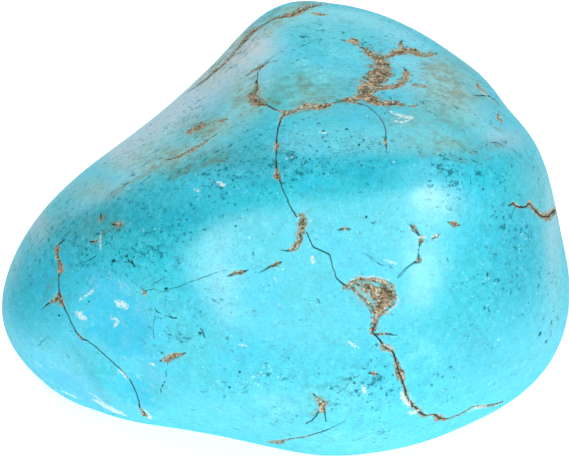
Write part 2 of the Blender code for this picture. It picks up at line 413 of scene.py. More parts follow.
SOFT_ROUNDS, CRISP_ROUNDS = 60, 6
ends = neighbours(skin)
soft = given_back(faceted, ends, SOFT_ROUNDS)
crisp = given_back(faceted, ends, CRISP_ROUNDS)
print("relaxed: moved by at most", round(np.abs(soft - faceted).max() / MM, 2), "mm")

# %% Keep the chips crisp
# A chip keeps its shape better with little relaxing: pixel and reach in mm. The chips of the back are named
# in the same picture, as if seen through the stone.
CHIPS = {
    "on_left": (118, 315, 4.2),
    "under_left": (140, 385, 3.6),
    "on_nose": (67, 387, 5.0),
    "shoulder": (495, 97, 1.8),
}
CHIPS_BEHIND = {
    "left": (133, 253, 5.0),
    "right": (480, 310, 4.4),
    "top": (297, 70, 2.4),
}
CRISP_CORE, CRISP_FADE = 0.75, 0.4  # where a chip's crisp shape begins to give way, and over what width
INWARD = (1.0, 0.995, 0.99, 0.98, 0.97, 0.95, 0.92)  # a pixel just past the rim is tried again further in


def smooth_step(share):
    """A slope from 0 to 1 with soft ends."""
    share = np.clip(share, 0, 1)
    return share**2 * (3 - 2 * share)


def look_at(tree, px, py, side=1):
    """The place at this pixel on the near side, or with side -1 on the far one."""
    for inward in INWARD:
        start = Vector(HEART + level(px, py) * inward + TOWARDS * side * CLEAR)
        found = tree.ray_cast(start, Vector(-TOWARDS * side))
        if found[0] is not None:
            return np.array(found[0])
    raise ValueError(f"no stone at {px}, {py}")


keep = np.zeros(len(soft))
for chips, side in ((CHIPS, 1), (CHIPS_BEHIND, -1)):
    for px, py, reach in chips.values():
        away = np.linalg.norm(soft - look_at(solid_tree, px, py, side), axis=1) / (reach * MM)
        keep = np.maximum(keep, 1 - smooth_step((away - CRISP_CORE) / CRISP_FADE))
places = soft + (crisp - soft) * keep[:, None]
places[:, 2] = np.maximum(places[:, 2], 0)
put(skin, places)
skin.normal_update()
print(len(CHIPS) + len(CHIPS_BEHIND), "chips kept crisp")

# %% [markdown]
# ## Worn, not perfect
# Tumbling leaves slow waves in the polish, which break up the mirrored lights. They could be bump in the
# material, but real waves also move the outline, so they are pushed into the skin itself.

# %% Waves in the polish
WAVES = ((3.6, 0.014), (1.5, 0.005))  # length and height in mm
FLOOR_TOUCH = 0.03 * MM  # points this close to the floor are its own, and nothing is carved there


def waved(bm):
    """The points moved out and in along their normals by slow noise. The base stays flat."""
    for vert in bm.verts:
        if vert.co.z < FLOOR_TOUCH:
            continue
        height = sum(noise.noise(vert.co / (length * MM)) * high for length, high in WAVES)
        vert.co += vert.normal * height * MM


waved(skin)
skin.normal_update()
surface = BVHTree.FromBMesh(skin)
print("waves of", WAVES[0][1], "mm")

# %% [markdown]
# ## Where the veins run
# The matrix has no pattern that a formula could give: where it pools, forks and thins out is what makes
# this nugget this one. So each vein is a stroke, as a painter would draw it, through a few given points with
# a width at each. Between them a smooth curve with a little wander takes over. Five kinds of stroke are
# drawn:
# matrix, which is brown and sunk; hairs, thin dark cracks; chalk, crushed white spots and edges; fresh chips,
# where a flake came off and left a clean blue; and drifts, greenish stains with no edge. Specks are single
# dark points.

# %% Matrix strokes on the near side
# Each point: pixel right, pixel down, and half width in pixels.
MATRIX = {
    "crease": (
        (326, 3, 1.2), (314, 4.5, 1.8), (305, 7, 2.6), (297, 11, 3.8), (291, 13, 4.2), (284, 15, 2.8),
        (276, 17, 1.4), (268, 21, 1.2), (259, 27, 1.6), (250, 33, 2.8), (244, 40, 3.0), (237, 48, 2.0),
        (229, 58, 1.8), (222, 65, 1.3), (212, 73, 1.8), (205, 79, 1.5), (188, 91, 0.4),
    ),
    "spot_by_crease": ((314, 12.5, 1.2), (320, 13.5, 2.2), (326, 14, 1.0)),
    "rim_left_foot": (
        (256, 82, 0.9), (256, 90, 2.0), (252, 96, 3.2), (256, 103, 3.6), (262, 104, 2.8), (267, 106, 1.0),
    ),
    "rim_bottom": (
        (266, 105, 0.8), (272, 108.5, 0.9), (279, 111.5, 1.1), (288, 112, 1.8), (296, 111, 1.4),
        (302, 108, 2.2), (309, 107, 3.4), (318, 107.5, 3.8), (326, 106.5, 3.0), (331, 104.5, 1.4),
        (338, 102.5, 0.8), (345, 102, 0.9),
    ),
    "corner": ((284, 115, 2.6), (290, 113, 2.6), (294, 112.5, 1.2)),
    "island_right": (
        (342, 101, 1.2), (350, 102, 1.8), (358, 104, 1.0), (366, 107, 0.6), (374, 113, 0.5),
        (380, 120, 0.5), (384, 128, 0.5), (385, 137, 0.7), (384, 142, 1.5), (385, 148, 0.5),
    ),
    "foot_of_patch": (
        (345, 100, 1.6), (354, 100, 3.4), (362, 97, 6.0), (369, 99, 7.5), (377, 103, 4.5), (386, 104, 3.2),
        (395, 104, 2.6), (402, 106, 1.2),
    ),
    "spots_by_patch": ((408, 107, 0.8), (412, 106.5, 2.0), (416, 106, 0.8)),
    "main_patch": (
        (366, 94, 5.0), (371, 87, 7.5), (376, 80, 8.0), (379, 73, 7.5), (381, 66, 6.0), (379, 60, 4.0),
        (372, 55, 3.0), (366, 50, 2.2), (362, 47, 0.8),
    ),
    "patch_arm": (
        (384, 88, 4.0), (392, 87, 3.2), (399, 84, 3.0), (404, 79, 2.4), (406, 73, 1.8), (404, 69, 0.6),
    ),
    "patch_head": (
        (376, 56, 3.0), (384, 57, 2.2), (391, 55, 2.0), (398, 52, 3.8), (405, 50, 5.0), (412, 51, 4.4),
        (418, 54, 3.2), (424, 55, 1.8), (431, 54, 1.4), (437, 53, 0.5),
    ),
    "spike": ((403, 50, 2.2), (401, 45, 1.6), (402, 40, 0.5)),
    "arm_to_left": (
        (342, 40, 0.6), (348, 41, 1.4), (354, 41, 3.0), (357, 45, 1.2), (364, 49, 1.2), (370, 52, 1.6),
    ),
    "spot_by_arm": ((414, 86, 1.4), (420, 86, 2.4), (425, 87, 1.0)),
    "streak_high": ((248, 75, 0.8), (255, 70, 1.6), (263, 66, 1.4), (268, 62, 0.6)),
    "brown_on_flank": ((190, 135, 1.0), (194, 128, 3.4), (200, 128, 3.0), (207, 125, 1.8), (213, 122, 0.8)),
    "flank_vein": (
        (168, 160, 0.6), (177, 158, 1.4), (186, 154, 1.6), (195, 149, 2.2), (202, 145, 1.4),
        (209, 140, 1.2), (217, 135, 0.6),
    ),
    "spot_on_flank": ((220, 122, 1.0), (223, 121, 1.8), (227, 120, 0.7)),
    "middle_down": (
        (285, 114, 1.8), (281, 119, 1.3), (279, 126, 0.9), (277, 134, 0.8), (277, 141, 0.9),
        (276.5, 147, 1.9), (276, 154, 0.8), (276, 163, 0.9), (276, 170, 1.6), (277, 175.5, 3.2),
        (280, 181, 1.2), (282, 187, 0.8), (286, 197, 0.7), (290, 206, 0.7), (296, 216, 0.9),
    ),
    "middle_hole": ((301, 217, 2.4), (302, 222, 4.0), (302, 228, 2.6)),
    "middle_tail": (
        (302, 228, 2.6), (300, 235, 2.2), (298, 241, 2.4), (295, 247, 2.6), (288, 250, 1.2),
        (282, 250, 0.5),
    ),
    "middle_on": (
        (307, 233, 0.7), (310, 241, 0.8), (314, 247, 0.9), (321, 250, 0.9), (328, 254, 0.9),
        (330, 258, 0.8), (332, 266, 0.7), (335, 275, 0.7), (340, 282, 1.0), (346, 286, 1.6),
    ),
    "pocket_rim": (
        (344, 286, 2.2), (349, 285, 3.2), (353, 281, 2.2), (358, 279, 2.0), (366, 279, 1.9),
        (376, 280, 2.2), (383, 282, 2.6),
    ),
    "pocket_fill": (
        (384, 286, 6.0), (386, 292, 8.5), (383, 299, 9.0), (379, 306, 7.5), (376, 313, 4.6),
        (374, 320, 3.2), (373, 326, 2.8),
    ),
    "pocket_middle": ((366, 284, 2.4), (370, 287, 4.4), (374, 291, 5.4), (377, 297, 6.0)),
    "pocket_crumbs": ((357, 284, 1.6), (361, 286, 2.2), (365, 290, 1.8)),
    "pocket_left": ((351, 287, 2.2), (355, 291, 1.6), (361, 296, 1.4), (366, 301, 2.0), (371, 307, 3.0)),
    "tail": (
        (373, 325, 3.0), (372, 331, 2.6), (374, 334, 1.2), (379, 339, 1.2), (384, 346, 2.6),
        (389, 348, 2.4), (393, 353, 1.4), (395, 360, 1.8), (397, 367, 2.6), (399, 373, 3.4),
        (401, 379, 1.8), (404, 387, 1.4), (406, 395, 1.5), (410, 402, 1.6), (416, 408, 1.6),
        (424, 415, 1.3), (433, 414, 1.2), (439, 418, 2.4), (446, 419, 1.2), (455, 416, 1.1),
        (464, 412, 1.2), (473, 407, 1.4), (484, 406, 1.1), (494, 405, 1.2), (502, 402, 0.8),
    ),
    "side_of_tail": ((374, 333, 1.0), (380, 333, 1.5), (388, 333, 1.2), (395, 334, 0.5)),
    "right_of_middle": (
        (409, 225, 0.6), (413, 229, 2.6), (417, 235, 1.0), (420, 239, 2.4), (418, 247, 0.6),
        (417, 254, 0.7), (418, 260, 2.2), (412, 263, 0.8), (405, 268, 0.6), (398, 276, 0.5),
    ),
    "spot_435": ((431, 238, 0.8), (435, 236, 2.0), (438, 235, 0.6)),
    "spot_453": ((447, 222, 0.8), (453, 224, 2.8), (457, 225, 1.0)),
    "right_end": (
        (507, 205, 0.5), (512, 204, 1.4), (517, 207, 1.2), (524, 207, 1.0), (529, 204, 2.2),
        (533, 208, 1.8), (537, 213, 1.8), (542, 216, 1.7), (547, 217, 2.2), (552, 213, 1.6),
        (556, 210, 1.1), (562, 212, 1.0),
    ),
    "shoulder": (
        (478, 84, 1.0), (481, 89, 2.8), (485, 94, 2.4), (489, 97, 1.0), (497, 104, 0.9), (505, 111, 0.8),
    ),
    "spot_499": ((498, 115, 0.8), (499, 119, 2.0), (500, 123, 0.6)),
    "left": (
        (66, 240, 0.4), (60, 244, 1.0), (58, 249, 3.0), (58, 255, 1.6), (60, 261, 1.8), (62, 268, 3.2),
        (60, 275, 0.9), (60, 284, 0.8), (60, 291, 1.2), (60, 296, 3.6), (62, 301, 2.6), (66, 308, 1.0),
        (71, 319, 0.8), (76, 329, 0.8), (81, 337, 1.4), (88, 340, 0.8), (95, 345, 0.8), (104, 353, 0.7),
        (114, 362, 0.8), (124, 372, 0.8), (132, 382, 0.8), (138, 396, 0.7), (141, 408, 0.9),
        (145, 415, 1.8),
    ),
    "left_branch": ((58, 298, 2.4), (53, 301, 1.4), (48, 304, 1.0), (44, 308, 0.4)),
    "low_left_patch": ((162, 360, 1.0), (167, 359, 2.4), (173, 356, 2.8), (179, 354, 2.0), (186, 352, 0.7)),
    "low_cluster": (
        (314, 393, 1.0), (318, 398, 1.6), (322, 402, 3.0), (322, 408, 2.4), (318, 411, 1.0),
        (314, 417, 0.9), (307, 422, 0.8),
    ),
    "low_cluster_leg": ((323, 406, 1.6), (325, 413, 0.8), (326, 420, 0.6)),
    "dot_373": ((369, 372, 0.6), (373, 372, 2.2), (377, 373, 0.7)),
    "bottom": (
        (268, 442, 0.8), (276, 442, 2.0), (284, 440, 1.0), (293, 438, 0.8), (304, 436, 0.9),
        (314, 433, 0.8), (324, 430, 0.8), (333, 426, 0.5),
    ),
    "speck_344": ((338, 230, 0.8), (344, 229, 1.6), (349, 229, 0.7)),
    "dash_240": ((229, 275, 0.8), (236, 273, 1.9), (242, 272, 1.8), (248, 270, 0.7)),
    "dash_264": ((260, 272, 0.4), (267, 268, 0.9), (273, 265, 1.6), (277, 263, 2.0), (281, 262, 0.8)),
    "speck_102": ((102, 214, 0.8), (102, 219, 1.6)),
    "speck_118": ((115, 225, 1.0), (121, 224, 1.8)),
    "speck_95": ((92, 241, 1.0), (97, 241, 1.4)),
    "white_top_corner": ((147, 291, 0.8), (146, 292, 1.8)),
}
print(len(MATRIX), "strokes of matrix on the near side")

# %% Hairs and specks on the near side
HAIRS = {
    "island_left": (
        (318, 38, 0.5), (309, 43, 0.5), (300, 47, 0.6), (291, 51, 0.7), (281, 52, 0.6), (272, 57, 0.6),
        (264, 63, 0.5),
    ),
    "island_left_low": ((262, 66, 0.5), (258, 74, 0.6), (257, 84, 0.7)),
    "rim_outer": ((266, 105, 0.5), (252, 110, 0.5), (241, 115, 0.4)),
    "down_from_rim": ((385, 144, 0.6), (386, 152, 0.6), (388, 161, 0.6), (391, 168, 0.5), (394, 176, 0.3)),
    "crack_433": ((424, 111, 0.4), (431, 114, 0.7), (436, 117, 0.8), (443, 118, 0.4)),
    "crack_484": (
        (466, 152, 0.5), (471, 153, 0.9), (476, 151, 0.5), (483, 146, 0.6), (490, 143.5, 0.7),
        (497, 144, 0.7), (502, 148, 0.4),
    ),
    "crack_512": ((508, 148, 0.3), (512, 150, 0.6), (515, 154, 0.7), (518, 158, 0.4)),
    "under_shoulder": ((470, 95, 0.3), (478, 96, 0.7), (488, 96, 0.8), (496, 101, 0.7), (504, 109, 0.6)),
    "crackle_375": ((371, 259, 0.3), (378, 263, 0.7), (386, 266, 0.8), (393, 268, 0.5)),
    "crackle_370": ((352, 250, 0.3), (362, 253, 0.5), (372, 258, 0.5)),
    "middle_long": (
        (147, 290, 0.5), (155, 288, 0.7), (164, 291, 0.5), (173, 288, 0.6), (187, 283, 0.7),
        (201, 278, 0.7), (214, 273, 0.6), (228, 269, 0.4),
    ),
    "middle_long_left": ((131, 278, 0.4), (138, 284, 0.7), (146, 290, 0.8)),
    "middle_long_spur": ((154, 284, 0.6), (160, 280, 0.6), (166, 276, 0.3)),
    "left_top": ((62, 243, 0.6), (67, 235, 0.7), (73, 231, 0.7), (80, 231, 0.3)),
    "left_stray": ((40, 248, 0.3), (45, 245, 0.7), (49, 244, 0.4)),
    "left_arc": ((101, 251, 0.6), (98, 255, 0.7), (94, 258, 0.9), (86, 262, 0.6), (75, 265, 0.3)),
    "down_155": ((155, 300, 0.3), (157, 312, 0.6), (154, 326, 0.4), (155, 338, 0.6)),
    "down_167": ((168, 362, 0.4), (167, 372, 0.6), (166, 380, 0.7), (162, 387, 0.8), (161, 392, 0.4)),
    "arc_343": (
        (330, 397, 0.5), (336, 392, 0.6), (341, 389, 0.6), (347, 383, 0.6), (353, 377, 0.5),
        (362, 372, 0.4), (369, 371, 0.3),
    ),
    "bottom_on": ((333, 426, 0.5), (344, 420, 0.5), (354, 415, 0.3)),
    "right_hair": ((513, 208, 0.6), (510, 213, 0.7), (510, 220, 0.4)),
    "right_hair_low": ((516, 216, 0.3), (513, 221, 0.6)),
    "nose_hair": ((38, 346, 0.6), (43, 341, 0.5), (50, 335, 0.3)),
    "by_pocket": ((395, 279, 0.6), (402, 270, 0.5), (410, 263, 0.5)),
    "flecks_150": ((157, 310, 0.9), (163, 313, 0.8), (169, 315, 1.0), (174, 317, 1.2)),
    "fleck_203": ((201, 327, 0.8), (204, 332, 1.1), (207, 338, 1.0)),
    "flow_a": ((416, 150, 0.3), (428, 152, 0.6), (441, 157.5, 0.6), (457, 163, 0.4)),
    "flow_b": ((439, 155, 0.3), (448, 161, 0.6), (465, 160, 0.6), (487, 167, 0.4)),
    "flow_120": ((120, 200, 0.3), (135, 188, 0.6), (150, 178, 0.5), (165, 168, 0.3)),
}
SPECKS = (
    (114, 261, 2.2), (117, 259, 1.4), (111, 264, 1.2), (107, 262, 0.8), (128, 256, 1.6), (133, 262, 2.2),
    (136, 266, 1.2), (130, 261, 1.2), (135, 257, 1.0), (139, 261, 0.8), (131, 252, 1.0), (149, 268, 0.8),
    (323, 132, 1.6), (346, 130, 1.4), (358, 146, 1.6), (240, 371, 1.8), (261, 378, 1.4), (280, 373, 1.6),
    (230, 386, 1.6), (177, 317, 1.2), (481, 189, 1.8), (504, 217, 1.2), (499, 226, 1.2), (486, 274, 1.8),
    (448, 290, 1.2), (497, 296, 1.2), (513, 286, 1.4), (534, 302, 1.0), (543, 317, 1.6), (539, 334, 2.0),
    (546, 341, 1.4), (551, 322, 1.4), (532, 343, 1.2), (458, 202, 1.4), (332, 170, 1.2), (281, 159, 1.0),
    (430, 175, 1.2), (236, 226, 1.4), (188, 220, 1.6), (200, 332, 1.4), (90, 301, 1.2), (167, 288, 1.8),
    (313, 205, 1.0), (365, 217, 1.8), (150, 326, 1.4), (60, 315, 1.4), (42, 291, 1.0), (30, 275, 1.2),
)
print(len(HAIRS), "hairs and", len(SPECKS), "specks on the near side")

# %% Chalk on the near side
CHALK = {
    "over_pocket": (
        (351, 279, 0.4), (359, 276.5, 0.5), (369, 276, 0.4), (379, 277, 0.5), (387, 279.5, 0.4),
    ),
    "under_pocket": ((396, 292, 0.3), (397, 300, 0.5), (392, 307, 0.6), (385, 311, 0.4)),
    "in_patch_foot": ((389, 112, 0.8), (395, 115, 1.4), (402, 117, 1.8), (409, 118, 1.4), (413, 121, 0.8)),
    "in_patch_foot_low": ((392, 121, 0.8), (399, 123, 1.4), (406, 122, 1.0)),
    "streak_102": ((102, 232, 0.6), (102, 240, 1.1), (102, 249, 0.8)),
    "facet_spot": ((120, 303, 3.0), (125, 304, 3.8), (127, 306, 2.4)),
    "facet_corner": ((79, 313, 2.4), (83, 316, 3.4), (86, 318, 2.2)),
    "facet_low": ((116, 317, 0.8), (119, 321, 1.6), (115, 326, 0.8)),
    "facet_edge": ((98, 286, 0.8), (92, 292, 1.3), (85, 297, 1.2), (79, 301, 0.8)),
    "below_facet_spot": ((112, 316, 0.8), (114, 319, 1.2)),
    "nose_edge": ((62, 392, 0.8), (68, 394, 1.2), (76, 398, 1.0)),
    "nose_edge_low": ((94, 400, 1.2), (101, 404, 2.4), (109, 408, 3.6), (116, 411, 3.6), (122, 414, 2.0)),
    "nose_ledge": ((88, 392, 0.6), (95, 396, 1.0), (103, 402, 1.2)),
    "nose_spot": ((43, 369, 0.8), (45, 371, 1.2)),
    "chip_line": ((121, 370, 0.8), (124, 374, 1.2), (128, 377, 0.8)),
    "foot_of_left": ((143, 409, 1.2), (148, 413, 1.6), (150, 418, 1.2)),
    "beside_tail": ((400, 391, 0.8), (402, 395, 2.0), (405, 400, 2.4), (408, 404, 1.6)),
    "beside_tail_low": ((409, 411, 1.0), (413, 412, 2.2), (417, 411, 1.4)),
    "in_tail": ((384, 344, 1.0), (390, 347, 1.6)),
    "in_bottom_right": ((470, 410, 0.8), (478, 407, 1.6), (486, 406, 1.0)),
    "shoulder": ((483, 92, 1.4), (486, 95, 1.8), (489, 98, 1.0)),
    "spot_222": ((220, 184, 2.0), (224, 185, 1.8)),
    "spot_313": ((312, 257, 1.4), (313, 261, 1.8)),
    "spot_364": ((362, 385, 1.4), (365, 389, 1.8), (363, 393, 1.0)),
    "spot_352": ((348, 341, 1.0), (353, 344, 1.4), (358, 346, 0.8)),
    "spot_435": ((432, 236, 1.0), (436, 235, 1.4)),
    "spot_420": ((418, 238, 1.2), (423, 237, 1.0)),
    "pits_317": ((320, 133, 1.0), (325, 134, 1.0)),
    "spot_199": ((196, 190, 0.8), (199, 191, 1.2)),
    "spot_244": ((240, 343, 0.8), (244, 344, 1.2), (247, 345, 0.6)),
    "low_156": ((150, 362, 0.8), (155, 364, 1.4)),
    "crackle_392": ((384, 260, 0.6), (394, 263, 1.2)),
}
print(len(CHALK), "chalk marks on the near side")

# %% Fresh chips and drifts on the near side
FRESH = {
    "facet": ((110, 300, 22), (117, 318, 29), (124, 332, 27)),
    "nose": ((50, 373, 9), (62, 379, 13), (74, 385, 14), (85, 393, 10)),
    "under": ((128, 378, 10), (136, 388, 15), (140, 398, 12)),
}
DRIFTS = {
    "band_behind_crease": (
        (312, 3, 4.0), (290, 7, 6.0), (268, 15, 6.0), (246, 31, 5.0), (228, 50, 4.0), (208, 71, 3.2),
    ),
    "crease_smear": (
        (308, 7, 4.0), (297, 11, 5.0), (280, 16, 4.0), (262, 24, 4.0), (245, 37, 4.0), (230, 56, 3.4),
        (212, 72, 2.6),
    ),
    "rim_foot": ((250, 84, 4.0), (250, 94, 6.0), (256, 102, 5.0)),
    "left_of_island": (
        (258, 70, 4.0), (246, 84, 5.0), (243, 97, 5.0), (236, 110, 5.0), (220, 122, 6.0), (205, 135, 5.0),
    ),
    "over_flank_vein": (
        (226, 118, 4.0), (205, 130, 5.0), (184, 148, 5.0), (160, 165, 4.0), (135, 180, 3.5),
        (112, 196, 3.0),
    ),
    "below_flank_vein": ((225, 160, 3.0), (200, 166, 4.0), (175, 178, 4.0), (150, 186, 3.0)),
    "streak_right_top": (
        (437, 62, 2.0), (447, 72, 3.0), (455, 83, 3.4), (461, 94, 3.4), (470, 98, 2.6), (483, 97, 1.6),
    ),
    "flow_1": (
        (425, 145, 1.6), (440, 140, 2.0), (455, 143, 2.0), (470, 152, 2.0), (488, 148, 1.6),
        (505, 142, 1.4),
    ),
    "flow_2": ((420, 156, 1.4), (436, 152, 1.8), (452, 158, 2.0), (468, 163, 1.6), (490, 160, 1.4)),
    "flow_3": ((430, 125, 1.4), (446, 122, 1.8), (462, 126, 1.8), (480, 124, 1.4), (500, 132, 1.2)),
    "flow_4": ((408, 128, 1.2), (420, 134, 1.6), (434, 133, 1.4)),
    "right_of_patch": ((428, 62, 4.0), (438, 72, 6.5), (448, 84, 6.5), (456, 97, 5.0)),
    "by_island": ((300, 78, 3.0), (306, 86, 3.6), (300, 94, 2.6)),
    "low_of_island": ((262, 98, 3.0), (282, 106, 2.6), (300, 103, 2.6), (330, 99, 2.4)),
    "left_patches": ((48, 290, 3.0), (58, 278, 2.4), (70, 268, 2.0)),
    "pocket_inside": ((357, 284, 4.0), (364, 288, 6.0), (370, 293, 6.5), (376, 300, 6.0)),
    "pocket_low": ((359, 290, 3.0), (364, 296, 5.0), (369, 302, 4.5)),
    "patch_foot": ((343, 103, 3.0), (355, 104, 5.0), (368, 102, 6.5), (384, 107, 5.0), (398, 107, 4.0)),
    "patch_side": ((370, 86, 11.0), (377, 74, 11.0), (379, 62, 8.0), (368, 52, 5.0)),
    "patch_head": ((392, 54, 5.0), (406, 51, 7.5), (420, 55, 5.0), (432, 54, 3.0)),
    "rim_blobs": ((284, 114, 3.6), (300, 110, 4.0), (316, 109, 6.0), (328, 106, 4.0)),
    "cluster": ((316, 396, 4.0), (322, 404, 6.0), (316, 414, 3.5)),
    "knot": ((299, 217, 4.0), (303, 223, 6.0), (299, 238, 4.5)),
    "ridge_left": ((100, 214, 3.0), (122, 222, 4.0), (108, 232, 3.0)),
}
print(len(FRESH), "fresh chips and", len(DRIFTS), "drifts on the near side")

# %% [markdown]
# ## Round the back
# A real vein is a sheet, so where it runs in on the front it comes out behind. The wide veins of the back
# carry on from the crease and from the right end, and their strokes are named by bearing and tilt. The
# finest cracks could be picked one by one as well, but walkers do it: each steps along the skin and turns a
# little at random. The random numbers are seeded, so that the nugget is the same each time.

# %% Strokes on the far side
# Each point: bearing and tilt from the heart in degrees, and half width in mm.
BEHIND = {
    "main": (
        (99, 38, 0.08), (98, 32, 0.13), (102, 26, 0.10), (100, 21, 0.20), (103, 16, 0.46), (108, 11, 0.58),
        (107, 5, 0.44), (103, 1, 0.24), (104, -5, 0.11), (109, -11, 0.08), (108, -17, 0.11),
        (112, -23, 0.22), (110, -28, 0.10), (113, -34, 0.07), (111, -40, 0.05),
    ),
    "arm": (
        (106, 12, 0.36), (98, 11, 0.26), (91, 7, 0.14), (85, 8, 0.09), (79, 4, 0.09), (73, 5, 0.22),
        (68, 1, 0.10), (61, 2, 0.07), (54, -3, 0.15), (47, -2, 0.08), (40, -6, 0.05),
    ),
    "arm_up": ((73, 5, 0.18), (70, 10, 0.10), (72, 15, 0.07), (68, 20, 0.06), (69, 26, 0.04)),
    "arm_left": (
        (109, 7, 0.32), (117, 4, 0.18), (123, 7, 0.11), (130, 4, 0.08), (137, 6, 0.19), (143, 3, 0.09),
        (151, 5, 0.07), (158, 1, 0.14), (166, -1, 0.06),
    ),
    "fork": (
        (137, 5, 0.14), (139, -1, 0.08), (136, -8, 0.07), (139, -15, 0.17), (137, -20, 0.08),
        (141, -27, 0.05),
    ),
    "side_of_main": ((100, 20, 0.16), (94, 21, 0.20), (88, 19, 0.10), (84, 22, 0.06)),
    "right_end": (
        (24, 26, 0.05), (20, 20, 0.09), (23, 14, 0.26), (20, 9, 0.16), (15, 4, 0.08), (18, -3, 0.07),
        (13, -10, 0.18), (9, -15, 0.09), (12, -22, 0.05),
    ),
    "low_patch": ((69, -20, 0.07), (74, -23, 0.26), (80, -22, 0.34), (87, -25, 0.16), (94, -24, 0.06)),
    "low_patch_leg": ((80, -24, 0.16), (82, -31, 0.08), (79, -38, 0.05)),
    "left_end": (
        (171, 16, 0.05), (176, 10, 0.10), (174, 3, 0.26), (179, -3, 0.14), (186, -6, 0.08),
        (191, -11, 0.06),
    ),
    "spot_1": ((52, 18, 0.06), (55, 19, 0.18), (58, 18, 0.06)),
    "spot_2": ((123, -22, 0.06), (126, -24, 0.20), (129, -23, 0.07)),
    "spot_3": ((152, -14, 0.06), (154, -12, 0.16), (157, -13, 0.06)),
    "spot_4": ((35, 8, 0.06), (38, 9, 0.14), (40, 11, 0.05)),
}
CHALK_BEHIND = {
    "by_main": ((112, 14, 0.05), (113, 9, 0.12), (111, 3, 0.07)),
    "by_arm": ((88, 10, 0.05), (82, 9, 0.10), (77, 7, 0.05)),
    "low": ((84, -20, 0.06), (89, -21, 0.12), (93, -22, 0.05)),
    "nick": ((60, -9, 0.06), (62, -11, 0.14)),
    "scratch": ((130, 22, 0.04), (133, 18, 0.07), (134, 13, 0.04)),
}
DRIFTS_BEHIND = {
    "by_main": (
        (99, 36, 0.4), (99, 26, 0.7), (103, 14, 1.1), (107, 5, 1.1), (104, -6, 0.6), (111, -22, 0.7),
    ),
    "by_arm": ((100, 12, 0.8), (86, 9, 0.5), (73, 5, 0.8), (54, -3, 0.6)),
    "by_arm_left": ((117, 5, 0.6), (137, 6, 0.7), (158, 1, 0.5)),
    "low": ((68, -20, 0.5), (80, -23, 0.9), (94, -24, 0.5)),
    "right_end": ((22, 20, 0.4), (21, 12, 0.7), (14, -10, 0.6)),
}
# Fresh chips, named in the picture, as if seen through the stone: pixel and half width.
FRESH_BEHIND = {
    "left": ((126, 246, 20), (138, 258, 24)),
    "right": ((474, 304, 18), (486, 316, 20)),
}
print(len(BEHIND), "strokes of matrix and", len(FRESH_BEHIND), "fresh chips on the far side")


# %% Far places on the skin
SPECKS_BEHIND, SPECKS_SEED = 46, 11
SPECK_SIZES = (0.03, 0.10)  # mm, the least and the most half width of a speck
FAR_ENOUGH = -0.1  # how far a normal has to point away from the near side


def on_skin(place):
    """The nearest place on the skin and its normal."""
    found = surface.find_nearest(Vector(place))
    return np.array(found[0]), np.array(found[1])


def hidden(strokes):
    """Strokes of the far side as places on the skin. They stop where the near side begins."""
    made = []
    for points in strokes.values():
        places = [(cast_out(surface, heading(bearing, tilt)), half) for bearing, tilt, half in points]
        far = [(*place, half * MM) for place, half in places if on_skin(place)[1] @ TOWARDS < 0]
        made.append(far)
    return [stroke for stroke in made if stroke]


def scattered(count, seed):
    """Specks at random places on the far side."""
    draw = np.random.default_rng(seed)
    made = []
    while len(made) < count:
        way = draw.normal(size=3)
        place = cast_out(surface, way / np.linalg.norm(way))
        if on_skin(place)[1] @ TOWARDS < FAR_ENOUGH and place[2] > MM:
            made.append([(*place, draw.uniform(*SPECK_SIZES) * MM)])
    return made


far_matrix, far_chalk, far_drifts = hidden(BEHIND), hidden(CHALK_BEHIND), hidden(DRIFTS_BEHIND)
far_specks = scattered(SPECKS_BEHIND, SPECKS_SEED)
print(len(far_matrix), "strokes of matrix and", len(far_specks), "specks on the far side")

# %% Walkers
# Each walk: bearing and tilt of its start, the way it sets off in degrees from level, length and half width
# in mm.
WALKS = {
    "from_crease": (100, 52, -70, 12, 0.05),
    "from_patch": (62, 44, -60, 17, 0.05),
    "right": (30, -4, -30, 12, 0.045),
    "low": (58, -18, 160, 13, 0.045),
    "left": (160, 18, -40, 14, 0.05),
    "fork": (122, 22, 200, 12, 0.045),
    "foot": (125, -30, 20, 12, 0.045),
    "below_nose": (-160, -30, 20, 9, 0.045),
    "high": (80, 34, -120, 9, 0.04),
}
FIRST_SEED = 3  # each walker has the next seed
STEP = 0.6 * MM
TURN = 0.9  # the most that a walker turns at one step, in radians
SWELL, SWELL_CHANCE = 1.6, 0.3  # how much a crack widens here and there, and how often
FADE_IN, FADE_OUT = (0.25, 3.0), (0.15, 2.5)  # share of the full width at either end, and how fast it grows


def walk(seed, bearing, tilt, set_off, length, half_width):
    """Points and half widths of a crack that wanders over the skin, and thins out at both ends."""
    draw = np.random.default_rng(seed)
    place = cast_out(surface, heading(bearing, tilt))
    _, normal = on_skin(place)
    side = np.cross((0, 0, 1), normal)
    side /= np.linalg.norm(side)
    way = side * cos(radians(set_off)) + np.cross(normal, side) * sin(radians(set_off))
    count = round(length * MM / STEP)
    made = []
    for i in range(count + 1):
        fade_in = FADE_IN[0] + FADE_IN[1] * i / count
        fade_out = FADE_OUT[0] + FADE_OUT[1] * (1 - i / count)
        fade = min(1, fade_in, fade_out)
        swell = 1 + SWELL * max(0, draw.normal()) * (draw.random() < SWELL_CHANCE)
        made.append((*place, half_width * MM * fade * swell))
        way = way + np.cross(normal, way) * draw.uniform(-TURN, TURN)
        place, normal = on_skin(place + way / np.linalg.norm(way) * STEP)
        if normal @ TOWARDS > 0:
            break
        way -= normal * (way @ normal)
    return made


walked = [walk(seed, *values) for seed, values in enumerate(WALKS.values(), start=FIRST_SEED)]
print(len(walked), "walks")

# %% [markdown]
# ## Laying the strokes
# So far a stroke is a few points. Straight lines between them would show their corners, so each stroke
# becomes a row of close places on a smooth curve, and noise pushes the row aside a little, as a real crack
# strays. Where the skin slants away a mark looks narrower than it is, so a stroke that was drawn in the
# picture is widened there. The thinnest veins are thinned further, and the widest cracks get a dark core.

